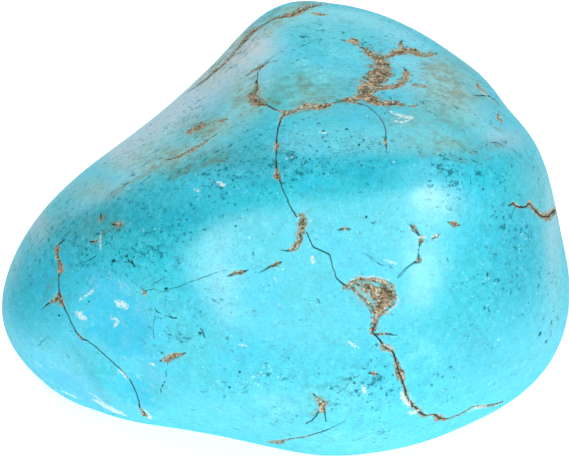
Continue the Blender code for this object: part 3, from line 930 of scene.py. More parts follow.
# %% From pixels to places
SLANT = 0.55  # 0 would leave marks on slanting skin as narrow as they look, 1 would widen them in full
LEAST_FACING = 0.25  # skin that slants away further than this widens no more


def seen_stroke(points, side=1):
    """The points of a stroke in the picture, as places on the skin with half widths in metres."""
    made = []
    for px, py, half_width in points:
        place = look_at(surface, px, py, side)
        facing = max(on_skin(place)[1] @ TOWARDS * side, LEAST_FACING)
        made.append((*place, half_width * PIXEL / facing**SLANT))
    return made


def seen(strokes, side=1):
    """The strokes of one kind in the picture as places on the skin."""
    return [seen_stroke(points, side) for points in strokes.values()]


def thinned(strokes, thin, full):
    """Half widths far below the full one, in mm, are multiplied by the thin share, and wide ones are kept."""
    made = []
    for points in strokes:
        shares = [thin + (1 - thin) * smooth_step(half / (full * MM)) for *_, half in points]
        made.append([(*place, half * share) for (*place, half), share in zip(points, shares)])
    return made


MATRIX_THINNING = (0.50, 0.22)  # share of the thinnest, and the full half width in mm
HAIR_THINNING = (0.42, 0.30)
SPECK_SHARE = 0.75
# Dark lines within the brown of the widest cracks: half widths in pixels.
CORES = {
    "tail": 0.65, "middle_down": 0.30, "middle_on": 0.35, "left": 0.30, "right_end": 0.50, "crease": 0.45,
}

near_matrix = thinned(seen(MATRIX), *MATRIX_THINNING)
near_hairs = thinned(seen(HAIRS), *HAIR_THINNING)
near_specks = [seen_stroke([(px, py, half * SPECK_SHARE)]) for px, py, half in SPECKS]
cores = seen({name: [(px, py, half) for px, py, _ in MATRIX[name]] for name, half in CORES.items()})
print(len(near_matrix), "strokes of matrix,", len(cores), "of them with a dark core")

# %% Curves on the skin
SAMPLE = 0.03 * MM  # between the places along a stroke
WANDER = 0.07 * MM  # how far a stroke strays from its smooth curve
WANDER_LENGTH = 0.5 * MM
FINER = 2.7  # a second, half as strong wander is this much finer


def smooth_curve(points):
    """Places along the smooth curve through the points, a Catmull-Rom spline, with their half widths."""
    p = np.array(points)
    if len(p) == 1:
        return p
    p = np.vstack((2 * p[0] - p[1], p, 2 * p[-1] - p[-2]))
    made = []
    for before, start, end, after in zip(p, p[1:], p[2:], p[3:]):
        count = max(1, round(np.linalg.norm((end - start)[:3]) / SAMPLE))
        bend = 2 * before - 5 * start + 4 * end - after
        twist = 3 * (start - end) + after - before
        for t in np.arange(count) / count:
            made.append(start + 0.5 * t * (end - before + t * (bend + t * twist)))
    made.append(p[-2])
    return np.array(made)


def laid(points):
    """A stroke as rows of place, half width and direction, with its wander, on the skin."""
    curve = smooth_curve(points)
    along = np.gradient(curve[:, :3], axis=0) if len(curve) > 1 else np.zeros((1, 3))
    rows = []
    for row, way in zip(curve, along):
        place, half_width = row[:3], max(row[3], 0)
        _, normal = on_skin(place)
        length = np.linalg.norm(way)
        way = way / length if length else way
        at = Vector(place) / WANDER_LENGTH
        stray = noise.noise(at) + 0.5 * noise.noise(at * FINER)
        place, _ = on_skin(place + np.cross(normal, way) * stray * WANDER)
        rows.append((*place, half_width, *way))
    return rows


def kind_of_mark(strokes):
    """All the rows of the strokes of one kind, and a tree that finds the nearest of them."""
    rows = np.array([row for stroke in strokes for row in laid(stroke)])
    tree = KDTree(len(rows))
    for number, row in enumerate(rows):
        tree.insert(row[:3], number)
    tree.balance()
    return rows, tree


MARKS = {
    "matrix": kind_of_mark(near_matrix + far_matrix),
    "hair": kind_of_mark(near_hairs + cores + walked + near_specks + far_specks),
    "chalk": kind_of_mark(seen(CHALK) + far_chalk),
    "drift": kind_of_mark(seen(DRIFTS) + far_drifts),
    "fresh": kind_of_mark(seen(FRESH) + seen(FRESH_BEHIND, -1)),
}
print("places along the strokes:", {name: len(rows) for name, (rows, _) in MARKS.items()})

# %% [markdown]
# ## Finer squares where there is something to carve
# Squares of 0.4 mm are fine for polish, but a vein is narrower than one of them. Halving every square three
# times would make millions. Halving only those near the marks gives the same edge for some tens of
# thousands.

# %% Halve the squares near the marks
# Reach in mm beyond a mark's own half width, once for each halving.
BANDS = ((0.36, "matrix"), (0.14, "matrix"), (0.05, "hair"))


def gap_to(mark, places):
    """For each place, how far it is from the mark's nearest row, and that row's number."""
    rows, tree = mark
    found = [tree.find(place)[1:] for place in places]
    return np.array([distance for _, distance in found]), np.array([number for number, _ in found])


def halve_near(bm, mark, reach):
    """Halves the edges of all faces within reach of the mark."""
    gap, number = gap_to(mark, coordinates(bm))
    close = gap < mark[0][number, 3] + reach * MM
    near = {vert for vert, inside in zip(bm.verts, close) if inside and vert.co.z > FLOOR_TOUCH}
    edges = [edge for edge in bm.edges if edge.verts[0] in near or edge.verts[1] in near]
    bmesh.ops.subdivide_edges(bm, edges=edges, cuts=1, use_grid_fill=True)


for reach, name in BANDS:
    halve_near(skin, MARKS[name], reach)
skin.normal_update()
print(len(skin.verts), "points,", sum(len(face.verts) - 2 for face in skin.faces), "triangles")

# %% [markdown]
# ## Carving
# Matrix wears back to a flat, rough bottom with a wall at its edge. Where a grain has fallen out, a hole is
# left. A hole or a wall that is only shaded would turn flat at the outline, so both are carved into the
# skin.

# %% Sink the matrix and drill the holes
SUNK = 0.10 * MM  # how far wide matrix lies below the polish
WALL, WALL_START = 0.11 * MM, 0.35  # over what width the wall drops, and how far it has dropped at the edge
NARROW, LEAST_SUNK = 0.12 * MM, 0.2  # matrix narrower than this is sunk less
RUBBLE, RUBBLE_SIZE = 0.035 * MM, 0.28 * MM  # height and size of the grains on the bottom
HOLE_MOUTH = 1.2  # where a hole's wall meets the skin, in radii
# Holes: pixel, radius and depth in mm.
HOLES = {
    "in_crease": (291, 13, 0.30, 0.35),
    "in_crease_low": (250, 35, 0.16, 0.15),
    "in_middle": (302, 221.5, 0.20, 0.30),
    "in_pocket": (387, 290, 0.18, 0.25),
    "in_patch": (384, 73, 0.30, 0.16),
    "in_patch_low": (372, 84, 0.30, 0.12),
    "in_head": (407, 50, 0.26, 0.12),
    "in_blob": (314, 108, 0.22, 0.16),
    "in_rim_foot": (258, 103, 0.18, 0.14),
    "in_knot": (277, 175, 0.16, 0.12),
    "in_knot_low": (398, 371, 0.18, 0.14),
    "in_cluster": (322, 403, 0.16, 0.12),
    "in_left": (60, 296, 0.18, 0.14),
    "black_1": (114, 261, 0.13, 0.10),
    "black_2": (133, 262, 0.13, 0.10),
    "pit_323": (323, 132, 0.14, 0.08),
    "pit_346": (346, 130, 0.12, 0.07),
    "pit_facet": (122, 304, 0.16, 0.08),
}


def carved(bm, places):
    """Sinks the points that lie in matrix, and drills the holes. It gives back the greatest depth."""
    gap, number = gap_to(MARKS["matrix"], places)
    half_width = MARKS["matrix"][0][number, 3]
    inside = smooth_step((half_width - gap) / WALL + WALL_START)
    inside *= smooth_step(half_width / NARROW + LEAST_SUNK)
    deep = inside * SUNK
    for px, py, radius, depth in HOLES.values():
        away = np.linalg.norm(places - look_at(surface, px, py), axis=1) / (radius * MM)
        drilled = depth * MM * (1 - smooth_step(away / HOLE_MOUTH))
        deep = np.maximum(deep, drilled + inside * SUNK * (away < HOLE_MOUTH))
    for vert, down, share in zip(bm.verts, deep, inside):
        if down > 0 and vert.co.z > FLOOR_TOUCH:
            rubble = noise.noise(vert.co / RUBBLE_SIZE) * RUBBLE * share
            vert.co -= vert.normal * (down + rubble)
    return deep.max()


uncarved = coordinates(skin)
deepest = carved(skin, uncarved)
skin.normal_update()
print("carved down to", round(deepest / MM, 2), "mm")

# %% [markdown]
# ## What the skin tells the material
# The material has to know where the marks are. Painting them into an image would blur them. Storing a mask
# at the points would make them as coarse as the squares. So each point stores the way to the nearest
# stroke, as a vector: between two points that vector changes evenly, so the material finds the middle of
# the stroke exactly.

# %% From bmesh to mesh
mesh = bpy.data.meshes.new("polished_nugget")
put(skin, np.array([(x, y, max(z, 0)) for x, y, z in coordinates(skin)]))
skin.to_mesh(mesh)
skin.free()
mesh.shade_smooth()
nugget = bpy.data.objects.new("polished_nugget", mesh)
bpy.context.collection.objects.link(nugget)
points = np.array([vert.co for vert in mesh.vertices])
print(len(points), "points in the nugget's mesh")


# %% Ways, gaps and half widths
def store(name, kind, field, values):
    """Writes one value for each point into a named attribute."""
    layer = mesh.attributes.new(name, kind, "POINT")
    layer.data.foreach_set(field, np.ascontiguousarray(values, np.float32).ravel())


def store_mark(name, mark):
    """The way to the nearest stroke, its length and the stroke's half width there, in millimetres.

    The strokes lie on the uncarved skin, so it is measured from where each point was before the carving.
    """
    rows = mark[0]
    gap, number = gap_to(mark, uncarved)
    way = rows[number, :3] - uncarved
    along = rows[number, 4:7]
    way -= along * np.sum(way * along, axis=1)[:, None]
    store(name + "_way", "FLOAT_VECTOR", "vector", way / MM)
    store(name + "_gap", "FLOAT", "value", gap / MM)
    store(name + "_half", "FLOAT", "value", rows[number, 3] / MM)


for name, mark in MARKS.items():
    store_mark(name, mark)
print("stored", len(mesh.attributes), "attributes")

# %% [markdown]
# ## Slow changes of colour
# Turquoise isn't one blue. Where it has weathered it turns greener, and a fresh chip is a cleaner blue. Some
# tints are painted light instead: a paleness that is partly painted highlights and painted reflections of
# the floor, a greyish painted sheen where the stone is seen at a slant, and a deep blue that is painted
# shade.
# Noise gives changes of colour anywhere, but these belong to one place: the pale island on the top, the
# painted sheen along the upper left, or the left tip, whose polish is worn off. These are soft spots, named
# by pixel, reach across and down in pixels, and strength. Those of the far side are named by bearing and
# tilt.

# %% Tints
# Worn is where the polish is dull, crowd where the flecks are many, and the rest are colours. Green is
# weathering, pale is partly painted highlight and painted reflection, the greyish sheen is painted, and deep
# is painted shade.
TINTS = {
    # Pale, mostly painted light: blob and streak are painted highlights of the soft boxes, the spots low on
    # the front and on the nose are painted reflections of the floor, and those at the rim and on the flank
    # are painted sheen.
    "pale": {
        "island": (313, 68, 46, 38, 0.80),
        "blob": (442, 206, 28, 20, 0.65),
        "low_middle": (300, 402, 70, 18, 0.65),
        "streak": (226, 274, 20, 48, 0.80),
        "streak_right": (420, 350, 30, 24, 0.55),
        "streak_foot": (350, 388, 22, 16, 0.60),
        "foot": (262, 404, 36, 22, 0.55),
        "right_foot": (360, 440, 50, 12, 0.50),
        "chip_on_nose": (68, 386, 24, 10, 0.30),
        "nose_smear": (64, 370, 22, 5, 0.60),
        "facet": (122, 310, 26, 26, 0.15),
        "right_rim": (548, 190, 14, 70, 0.40),
        "top_left": (225, 140, 30, 16, 0.25),
        "left_flank": (130, 170, 80, 26, 0.35),
        "upper_flank": (235, 70, 30, 60, 0.35),
    },
    "green": {
        "island_low": (305, 92, 44, 18, 0.75),
        "island_left": (246, 96, 20, 24, 1.00),
        "over_flank": (208, 127, 30, 12, 1.00),
        "low_flank": (160, 163, 46, 11, 0.90),
        "crease_high": (245, 38, 14, 12, 0.90),
        "crease_low": (218, 64, 12, 12, 0.80),
        "flank_vein": (178, 155, 60, 14, 0.75),
        "left_top": (75, 225, 40, 18, 0.40),
        "left_flank": (96, 190, 26, 12, 0.50),
        "top_right": (446, 92, 30, 34, 0.95),
        "flow": (438, 146, 50, 11, 0.55),
        "by_patch": (410, 118, 30, 12, 0.60),
        "right_of_patch": (442, 78, 24, 22, 0.95),
        "pocket": (363, 290, 9, 9, 1.0),
    },
    # A greyish painted sheen, where the stone mirrors the pale room at a slant: along the upper left, on the
    # top, at the rims and over the painted highlights. One spot of it greys the pocket.
    "painted_sheen": {
        "left_end": (84, 188, 40, 14, 0.18),
        "upper_left": (38, 226, 12, 20, 0.45),
        "top": (350, 20, 70, 20, 0.15),
        "top_right": (450, 90, 60, 40, 0.15),
        "over_ridge": (470, 140, 60, 22, 0.12),
        "over_right": (502, 140, 24, 12, 0.42),
        "rim_right": (552, 220, 9, 70, 0.40),
        "rim_left": (14, 255, 9, 30, 0.20),
        "streak": (222, 282, 15, 44, 0.15),
        "under_shoulder": (445, 206, 24, 16, 0.12),
        "foot": (312, 402, 60, 16, 0.08),
        "top_front": (400, 34, 44, 16, 0.14),
        "right_shoulder": (542, 182, 16, 28, 0.16),
        "pocket": (365, 292, 8, 8, 0.30),
    },
    "worn": {
        "left_tip": (18, 300, 36, 56, 0.70),
        "ledge": (97, 382, 14, 20, 0.55),
        "under_ledge": (128, 388, 14, 12, 0.35),
    },
    "crowd": {
        "ridge": (260, 160, 140, 34, 0.060),
        "left": (120, 235, 100, 46, 0.055),
        "cluster": (125, 260, 24, 12, 0.06),
        "right_side": (515, 255, 48, 90, 0.038),
        "right_of_ridge": (470, 170, 70, 26, 0.045),
        "top": (400, 70, 120, 60, 0.035),
        "flank": (180, 140, 90, 40, 0.045),
        "low": (345, 392, 100, 34, 0.040),
        "middle": (200, 320, 60, 40, 0.025),
    },
    # Painted shade in deep blue: the dark band under the ridge, the sides that turn away, and the shadowed
    # steps along the ledge and under the nose.
    "deep": {
        "ridge_left": (170, 215, 90, 24, 0.85),
        "ridge_middle": (260, 165, 60, 26, 0.80),
        "ridge_right": (370, 172, 70, 22, 0.65),
        "right_side": (518, 255, 36, 80, 0.80),
        "right_low": (480, 350, 46, 36, 0.50),
        "ledge_1": (78, 350, 5, 8, 0.70),
        "ledge_2": (84, 361, 5, 8, 0.80),
        "ledge_3": (92, 373, 6, 8, 0.85),
        "ledge_4": (99, 387, 6, 9, 0.80),
        "ledge_5": (105, 399, 5, 7, 0.60),
        "under_nose": (114, 374, 14, 14, 0.60),
        "under_nose_low": (131, 390, 14, 14, 0.60),
        "under_facet": (150, 375, 16, 24, 0.45),
        "left_side": (34, 295, 36, 50, 0.45),
    },
}
# The painted sheen lies thickest in a strip along the upper left outline, where the stone is seen at a slant.
for k in range(10):
    TINTS["painted_sheen"][f"strip_{k}"] = (124 + 14 * k, 150 - 11.5 * k, 26, 20, 0.77 + 0.02 * k)
# Between the crease and that outline the stone is green.
for k in range(9):
    TINTS["green"][f"behind_crease_{k}"] = (304 - 13 * k, 2 + 9.5 * k, 9, 8, 1.0)
print(sum(len(spots) for spots in TINTS.values()), "spots of tint on the near side")

# %% Tints of the far side
# Each spot: bearing and tilt from the heart, reach in mm, and strength.
TINTS_BEHIND = {
    "pale": (
        (60, 12, 6, 0.60), (125, -16, 7, 0.50), (90, -30, 6, 0.35), (168, 6, 5, 0.45), (30, -20, 5, 0.40),
    ),
    "green": (
        (100, 24, 5, 0.85), (108, 6, 5, 0.55), (78, -23, 5, 0.70), (137, 6, 5, 0.50), (20, 12, 5, 0.65),
        (45, 36, 6, 0.50), (172, -8, 6, 0.45), (54, -3, 4, 0.40),
    ),
    "painted_sheen": ((118, 38, 8, 0.80), (150, 26, 8, 0.75), (80, 42, 6, 0.35), (150, -30, 6, 0.30)),
    "worn": ((178, -4, 7, 0.50), (130, -20, 6, 0.30)),
    "crowd": (
        (90, 14, 8, 0.050), (45, 5, 7, 0.050), (145, -5, 8, 0.050), (100, -30, 7, 0.035), (178, 0, 6, 0.04),
    ),
    "deep": (
        (80, 20, 6, 0.65), (48, -14, 7, 0.60), (150, -12, 7, 0.60), (98, -14, 5, 0.50), (10, 0, 6, 0.40),
    ),
}
print(sum(len(spots) for spots in TINTS_BEHIND.values()), "spots of tint on the far side")


# %% Store the tints
RIM_OVERLAP = 0.2  # how far past the rim a tint of one side still shows, as the slope of the skin


def tint(spots, spots_behind):
    """How strong a tint is at each point. Each spot fades out evenly, and stays on its own side."""
    offset = points - HEART
    px = offset @ RIGHT / PIXEL + PICTURE_WIDE / 2
    py = PICTURE_HIGH / 2 - offset @ RISE / PIXEL
    normals = np.zeros(len(points) * 3, np.float32)
    mesh.vertex_normals.foreach_get("vector", normals)
    near = smooth_step((normals.reshape(-1, 3) @ TOWARDS + RIM_OVERLAP) / (2 * RIM_OVERLAP))
    strength = np.zeros(len(points))
    for x, y, across, down, share in spots.values():
        spot = share * np.exp(-((px - x) / across) ** 2 - ((py - y) / down) ** 2)
        strength = np.maximum(strength, spot)
    behind = np.zeros(len(points))
    for bearing, tilt, reach, share in spots_behind:
        middle = cast_out(surface, heading(bearing, tilt))
        away = np.linalg.norm(points - middle, axis=1) / (reach * MM)
        behind = np.maximum(behind, share * np.exp(-(away**2)))
    return strength * near + behind * (1 - near)


for name, spots in TINTS.items():
    store(name, "FLOAT", "value", tint(spots, TINTS_BEHIND[name]))
print("tints:", ", ".join(TINTS))

# %% [markdown]
# ## Shared effects
# Two effects are used again and again: the ragged edge of a stroke, and flecks scattered through the stone.
# Each is a node group with named inputs, built once, and placed with other values for each use.

# %% A stroke with a ragged edge
SKIN_MARGIN = 0.07  # mm by which the gap at the points may be short of the true one
THIN, WIDE = 0.06, 0.20  # half widths in mm between which a stroke turns from thin to wide
THIN_SHARE = 0.2  # a thin stroke stays whole: it gets this share of the raggedness, and doesn't crumble
RAGGED_REACH = 4.0  # half widths that an edge moves over the whole range of the noise
CRUMB_SIZE = 0.15  # mm

stroke, wants, gives = group(
    "stroke_with_ragged_edge",
    (
        ("Way", "NodeSocketVector", None),
        ("Gap", "NodeSocketFloat", 1.0),
        ("Half_width", "NodeSocketFloat", 0.1),
        ("Place", "NodeSocketVector", None),
        ("Grain", "NodeSocketFloat", 5.0),
        ("Raggedness", "NodeSocketFloat", 0.5),
        ("Crumble", "NodeSocketFloat", 0.0),
        ("Softness", "NodeSocketFloat", 0.03),
    ),
    (("Mask", "NodeSocketFloat"), ("Depth", "NodeSocketFloat")),
)
way = add(stroke, "ShaderNodeVectorMath", operation="LENGTH")
feed(stroke, way.inputs[0], wants["Way"])
distance = most(stroke, way.outputs["Value"], calc(stroke, "SUBTRACT", wants["Gap"], SKIN_MARGIN))
wide = rise_between(stroke, wants["Half_width"], THIN, WIDE)
rough = calc(stroke, "SUBTRACT", grain(stroke, wants["Place"], wants["Grain"], 3.0, 0.65), 0.5)
share = calc(stroke, "MULTIPLY_ADD", wide, 1 - THIN_SHARE, THIN_SHARE)
shift = times(stroke, rough, wants["Raggedness"], share, RAGGED_REACH)
reach = calc(stroke, "MULTIPLY_ADD", wants["Half_width"], shift, wants["Half_width"])
crumbs = calc(stroke, "SUBTRACT", grain(stroke, wants["Place"], 1 / CRUMB_SIZE, 2.0, 0.6), 0.5)
crumbs = times(stroke, crumbs, wants["Crumble"], wide)
depth = calc(stroke, "ADD", calc(stroke, "SUBTRACT", reach, distance), crumbs)
outside = times(stroke, wants["Softness"], -1.0)
feed(stroke, gives["Mask"], rise_between(stroke, depth, outside, wants["Softness"]))
feed(stroke, gives["Depth"], depth)
print("group:", stroke.name)

# %% Flecks
CROWD_SCALE, CROWD_REACH = 0.34, 0.36  # where flecks crowd by themselves: lumps to the mm, and how much
CORE_EDGE, HALO_EDGE = 0.045, 0.07  # how soft the edges of a fleck and of its halo are

flecks, wants, gives = group(
    "flecks",
    (
        ("Place", "NodeSocketVector", None),
        ("Scale", "NodeSocketFloat", 4.0),
        ("Cover", "NodeSocketFloat", 0.6),
        ("Crowd", "NodeSocketFloat", 0.0),
    ),
    (("Core", "NodeSocketFloat"), ("Halo", "NodeSocketFloat")),
)
grains = grain(flecks, wants["Place"], wants["Scale"], 3.0, 0.62)
crowd = calc(flecks, "SUBTRACT", grain(flecks, wants["Place"], CROWD_SCALE, 3.0, 0.5), 0.5)
thicker = calc(flecks, "MULTIPLY_ADD", crowd, CROWD_REACH, wants["Crowd"])
least = calc(flecks, "SUBTRACT", wants["Cover"], thicker)
full = calc(flecks, "ADD", least, CORE_EDGE)
faint = calc(flecks, "SUBTRACT", least, HALO_EDGE)
feed(flecks, gives["Core"], rise_between(flecks, grains, least, full))
feed(flecks, gives["Halo"], rise_between(flecks, grains, faint, least))
print("group:", flecks.name)

# %% [markdown]
# ## The blue
# The colour of the stone is mixed from slow clouds of two turquoises, the stored tints, and flecks of darker
# and paler mineral. It could be one long chain in the material, but as a group of its own it can be tried on
# any other stone.

# %% Colours in the blue
BLUE = (0.018, 0.60, 0.82, 1)
GREENER = (0.026, 0.60, 0.72, 1)
# Deep blue also gives the painted shade.
DEEP_BLUE = (0.006, 0.44, 0.60, 1)
# Pale blue also gives the painted highlights and painted reflections.
PALE_BLUE = (0.14, 0.74, 0.86, 1)
# The grey of the painted sheen.
PAINTED_SHEEN = (0.49, 0.62, 0.68, 1)
SAGE = (0.14, 0.44, 0.37, 1)
MOSS = (0.075, 0.20, 0.15, 1)
FLECK = (0.004, 0.150, 0.185, 1)
HALO = (0.006, 0.36, 0.47, 1)
MILK = (0.50, 0.86, 0.90, 1)
# Patches: size of the lumps in mm, detail, roughness, the noise at which they begin and at which they are
# full, and for some a shift and a stretch.
BLUE_PATCHES = {
    "greener": (6.0, 3.0, 0.50, 0.35, 0.65),
    "pale": (2.2, 4.0, 0.60, 0.30, 0.72),
    "cloudy": (0.6, 5.0, 0.75, 0.45, 0.70),
    "murky": (0.8, 5.0, 0.76, 0.45, 0.68, (9, 3, 7)),
    "fine": (0.17, 2.0, 0.60, 0.48, 0.72, (4, 1, 6)),
    "streaky": (0.35, 4.0, 0.70, 0.30, 0.70, None, (0.6, 1, 1)),
    "mossy": (0.7, 5.0, 0.72, 0.45, 0.60, (2, 6, 8)),
}
# Flecks: how the place is moved and by what, scale, cover, and how much the stored crowding counts.
FLECK_KINDS = {
    "dashes": ("MULTIPLY", (0.72, 1, 1), 1.9, 0.70, 1.5),
    "dots": ("ADD", (3, 8, 2), 2.9, 0.69, 1.5),
    "pepper": ("ADD", (6, 2, 9), 5.4, 0.685, 1.0),
    "milk": ("ADD", (31, 17, 5), 3.2, 0.70, 0.0),
}
# The stored paleness is partly painted highlight and painted reflection.
PALE_AND_HIGHLIGHT_GAIN = 1.3  # how much stronger the stored paleness shows where the pale patches are full
MURK, MURK_IN_CROWDS = 0.38, 8.0  # share of the murky patches, and how fast it grows where flecks crowd
GREEN_LIMIT = 1.45  # the stored green is multiplied by what the pale patches leave of this
SHEEN_LEAST, SHEEN_STREAKS = 0.80, 0.35  # share of the painted sheen between its streaks, and what they add
print(len(BLUE_PATCHES), "kinds of patch and", len(FLECK_KINDS), "kinds of fleck in the blue")

# %% Turquoise colour
blue, wants, gives = group(
    "turquoise_colour",
    (
        ("Place", "NodeSocketVector", None),
        ("Pale", "NodeSocketFloat", 0.0),
        ("Green", "NodeSocketFloat", 0.0),
        ("Film", "NodeSocketFloat", 0.0),
        ("Deep", "NodeSocketFloat", 0.0),
        ("Crowd", "NodeSocketFloat", 0.0),
    ),
    (("Color", "NodeSocketColor"), ("Flecks", "NodeSocketFloat")),
)


def scatter(how, by, scale, cover, crowding):
    """One kind of fleck in the blue: its core and its halo."""
    place = move(blue, how, wants["Place"], by)
    return place_group(
        blue, flecks, Place=place, Scale=scale, Cover=cover, Crowd=times(blue, wants["Crowd"], crowding)
    )


mask = {name: patches(blue, wants["Place"], *values) for name, values in BLUE_PATCHES.items()}
fleck = {name: scatter(*values) for name, values in FLECK_KINDS.items()}
# A number at the end of a blend is the most that its colour covers.
# The two turquoises, painted shade in deep blue, pale blue that is partly painted highlight and painted
# reflection, and clouds.
colour = blend(blue, BLUE, GREENER, mask["greener"])
# Deep blue where the painted shade is stored.
colour = blend(blue, colour, DEEP_BLUE, wants["Deep"])
# Pale blue where the stored paleness is: partly painted highlight and painted reflection of the floor.
colour = blend(blue, colour, PALE_BLUE, times(blue, wants["Pale"], mask["pale"], PALE_AND_HIGHLIGHT_GAIN, clamp=True))
colour = blend(blue, colour, PALE_BLUE, mask["cloudy"], 0.42)
murk = calc(blue, "MULTIPLY_ADD", wants["Crowd"], MURK_IN_CROWDS, MURK, clamp=True)
colour = blend(blue, colour, HALO, mask["murky"], murk)
colour = blend(blue, colour, HALO, mask["fine"], 0.50)
# Green weathering where the blue isn't pale, then the greyish painted sheen, then weathered moss green in
# spots.
left_over = calc(blue, "SUBTRACT", GREEN_LIMIT, mask["pale"])
colour = blend(blue, colour, SAGE, times(blue, wants["Green"], left_over, clamp=True), 0.85)
# The painted sheen, in streaks.
streaks = calc(blue, "MULTIPLY_ADD", mask["streaky"], SHEEN_STREAKS, SHEEN_LEAST)
colour = blend(blue, colour, PAINTED_SHEEN, times(blue, wants["Film"], streaks, clamp=True))
colour = blend(blue, colour, MOSS, mask["mossy"], wants["Green"], 0.75)
# Dark flecks with a deep blue halo, and milky ones.
colour = blend(blue, colour, HALO, most(blue, fleck["dashes"]["Halo"], fleck["dots"]["Halo"]), 0.40)
large = most(blue, fleck["dashes"]["Core"], fleck["dots"]["Core"])
colour = blend(blue, colour, FLECK, most(blue, large, fleck["pepper"]["Core"]), 0.78)
colour = blend(blue, colour, MILK, fleck["milk"]["Core"], 0.65)
feed(blue, gives["Color"], colour)
feed(blue, gives["Flecks"], large)
print("group:", blue.name, "of", len(blue.nodes), "nodes")

# %% [markdown]
# ## The brown
# Matrix is not one brown either. It is a grit of tan, rust and cream grains with dark gaps between them,
# and it is darkest in its deepest parts, where dirt stays behind. Along its edge, where the wall drops, it is
# darkened by painted shade. Where it is too narrow to show any grit, it is just dark. One brown with a bump
# would be quicker, but it would look like paint.

# %% Colours in the brown
TAN = (0.48, 0.35, 0.22, 1)
RUST = (0.31, 0.20, 0.11, 1)
CREAM = (0.86, 0.80, 0.62, 1)
GAP_BROWN = (0.060, 0.042, 0.024, 1)
OLIVE = (0.15, 0.15, 0.080, 1)
TEAL_BITS = (0.14, 0.46, 0.44, 1)
THIN_DARK = (0.008, 0.034, 0.030, 1)
# Patches, as in the blue.
BROWN_PATCHES = {
    "rusty": (0.7, 3.0, 0.50, 0.40, 0.62),
    "mossy": (0.8, 4.0, 0.60, 0.46, 0.60),
    "bits": (0.42, 4.0, 0.68, 0.54, 0.62, (5, 2, 4)),
    "broken": (0.5, 3.0, 0.50, 0.42, 0.58),
}
GRIT_SIZE = 0.20  # mm
PALE_GRAINS, DARK_GRAINS = (0.53, 0.64), (0.51, 0.62)  # how high and how low the grit is where they show
EDGE_GRAINS = 0.05  # by how much more of the grit is pale at the edge
# Depths in mm between which the pale edge, the painted shade along the wall and the dark heart change, and
# half widths in mm between which the grit begins to show.
EDGE, WALL_SHADE, DEEPEST, GRIT_SHOWS = (0.02, 0.15), (0.02, 0.08), (0.14, 0.45), (0.06, 0.11)
print(len(BROWN_PATCHES), "kinds of patch in the brown")

# %% Matrix colour
brown, wants, gives = group(
    "matrix_colour",
    (
        ("Place", "NodeSocketVector", None),
        ("Depth", "NodeSocketFloat", 0.1),
        ("Half_width", "NodeSocketFloat", 0.1),
    ),
    (("Color", "NodeSocketColor"), ("Height", "NodeSocketFloat")),
)
mask = {name: patches(brown, wants["Place"], *values) for name, values in BROWN_PATCHES.items()}
grit = grain(brown, wants["Place"], 1 / GRIT_SIZE, 3.0, 0.66)
edge = rest_of(brown, rise_between(brown, wants["Depth"], *EDGE))
wall_shade = rest_of(brown, rise_between(brown, wants["Depth"], *WALL_SHADE))
heart = rise_between(brown, wants["Depth"], *DEEPEST)
pale_grains = rise_between(brown, calc(brown, "MULTIPLY_ADD", edge, EDGE_GRAINS, grit), *PALE_GRAINS)
dark_grains = rise_between(brown, rest_of(brown, grit), *DARK_GRAINS)
colour = blend(brown, TAN, RUST, mask["rusty"])
colour = blend(brown, colour, OLIVE, mask["mossy"], 0.7)
colour = blend(brown, colour, TEAL_BITS, mask["bits"], 0.75)
colour = blend(brown, colour, CREAM, pale_grains, 0.75)
colour = blend(brown, colour, GAP_BROWN, dark_grains, 0.92)
colour = blend(brown, colour, GAP_BROWN, heart, mask["mossy"], 0.50)
# Painted shade: a dark rim, in patches, where the wall of the sunk matrix drops.
colour = blend(brown, colour, GAP_BROWN, wall_shade, mask["broken"], 0.7)
colour = blend(brown, THIN_DARK, colour, rise_between(brown, wants["Half_width"], *GRIT_SHOWS))
feed(brown, gives["Color"], colour)
feed(brown, gives["Height"], grit)
print("group:", brown.name, "of", len(brown.nodes), "nodes")

# %% [markdown]
# ## The finish
# One material holds it all, and the masks of the strokes decide what shows: blue, brown, crack, chalk or
# chip. The stone itself is dull, and its polish is a clear coat on top, which is missing where the stone is
# crumbly, chipped or worn. Making the whole stone smooth instead would give the brown a shine that it never
# takes. The shape is already carved, so bump adds only the finest grit.

# %% The material and its masks
CRACK = (0.006, 0.060, 0.062, 1)
CORE = (0.022, 0.026, 0.018, 1)
FRESH_BLUE = (0.022, 0.55, 0.82, 1)
STAIN = (0.105, 0.20, 0.12, 1)
FRINGE = (0.34, 0.62, 0.50, 1)
CHALK_WHITE = (0.74, 0.86, 0.84, 1)
# The edge of each kind of stroke: lumps to the mm, raggedness, crumble and softness.
EDGES = {
    "matrix": (2.8, 0.80, 0.80, 0.060),
    "hair": (4.5, 1.3, 0.25, 0.028),
    "chalk": (3.0, 0.70, 0.35, 0.08),
    "drift": (1.4, 1.1, 0.60, 0.30),
    "fresh": (1.3, 0.60, 0.0, 0.50),
}
# Patches, as in the blue.
STONE_PATCHES = {
    "crushed": (0.5, 4.0, 0.70, 0.50, 0.62),
    "bruised": (1.1, 5.0, 0.70, 0.45, 0.72),
    "grainy": (0.4, 4.0, 0.75, 0.46, 0.66),
    "streaked": (0.26, 5.0, 0.75, 0.42, 0.60, None, (0.5, 1, 1)),
    "kept": (1.1, 3.0, 0.60, 0.40, 0.58, (8, 4, 1)),
    "crumbs": (0.17, 2.0, 0.60, 0.40, 0.56),
}

material = bpy.data.materials.new("polished_turquoise_with_matrix")
material.use_nodes = True
tree = material.node_tree
shader = tree.nodes["Principled BSDF"]
place = move(tree, "MULTIPLY", add(tree, "ShaderNodeTexCoord").outputs["Object"], (1 / MM, 1 / MM, 1 / MM))


def stored(name, output="Fac"):
    """An attribute of the skin, as a value or as its Vector."""
    return add(tree, "ShaderNodeAttribute", attribute_name=name).outputs[output]


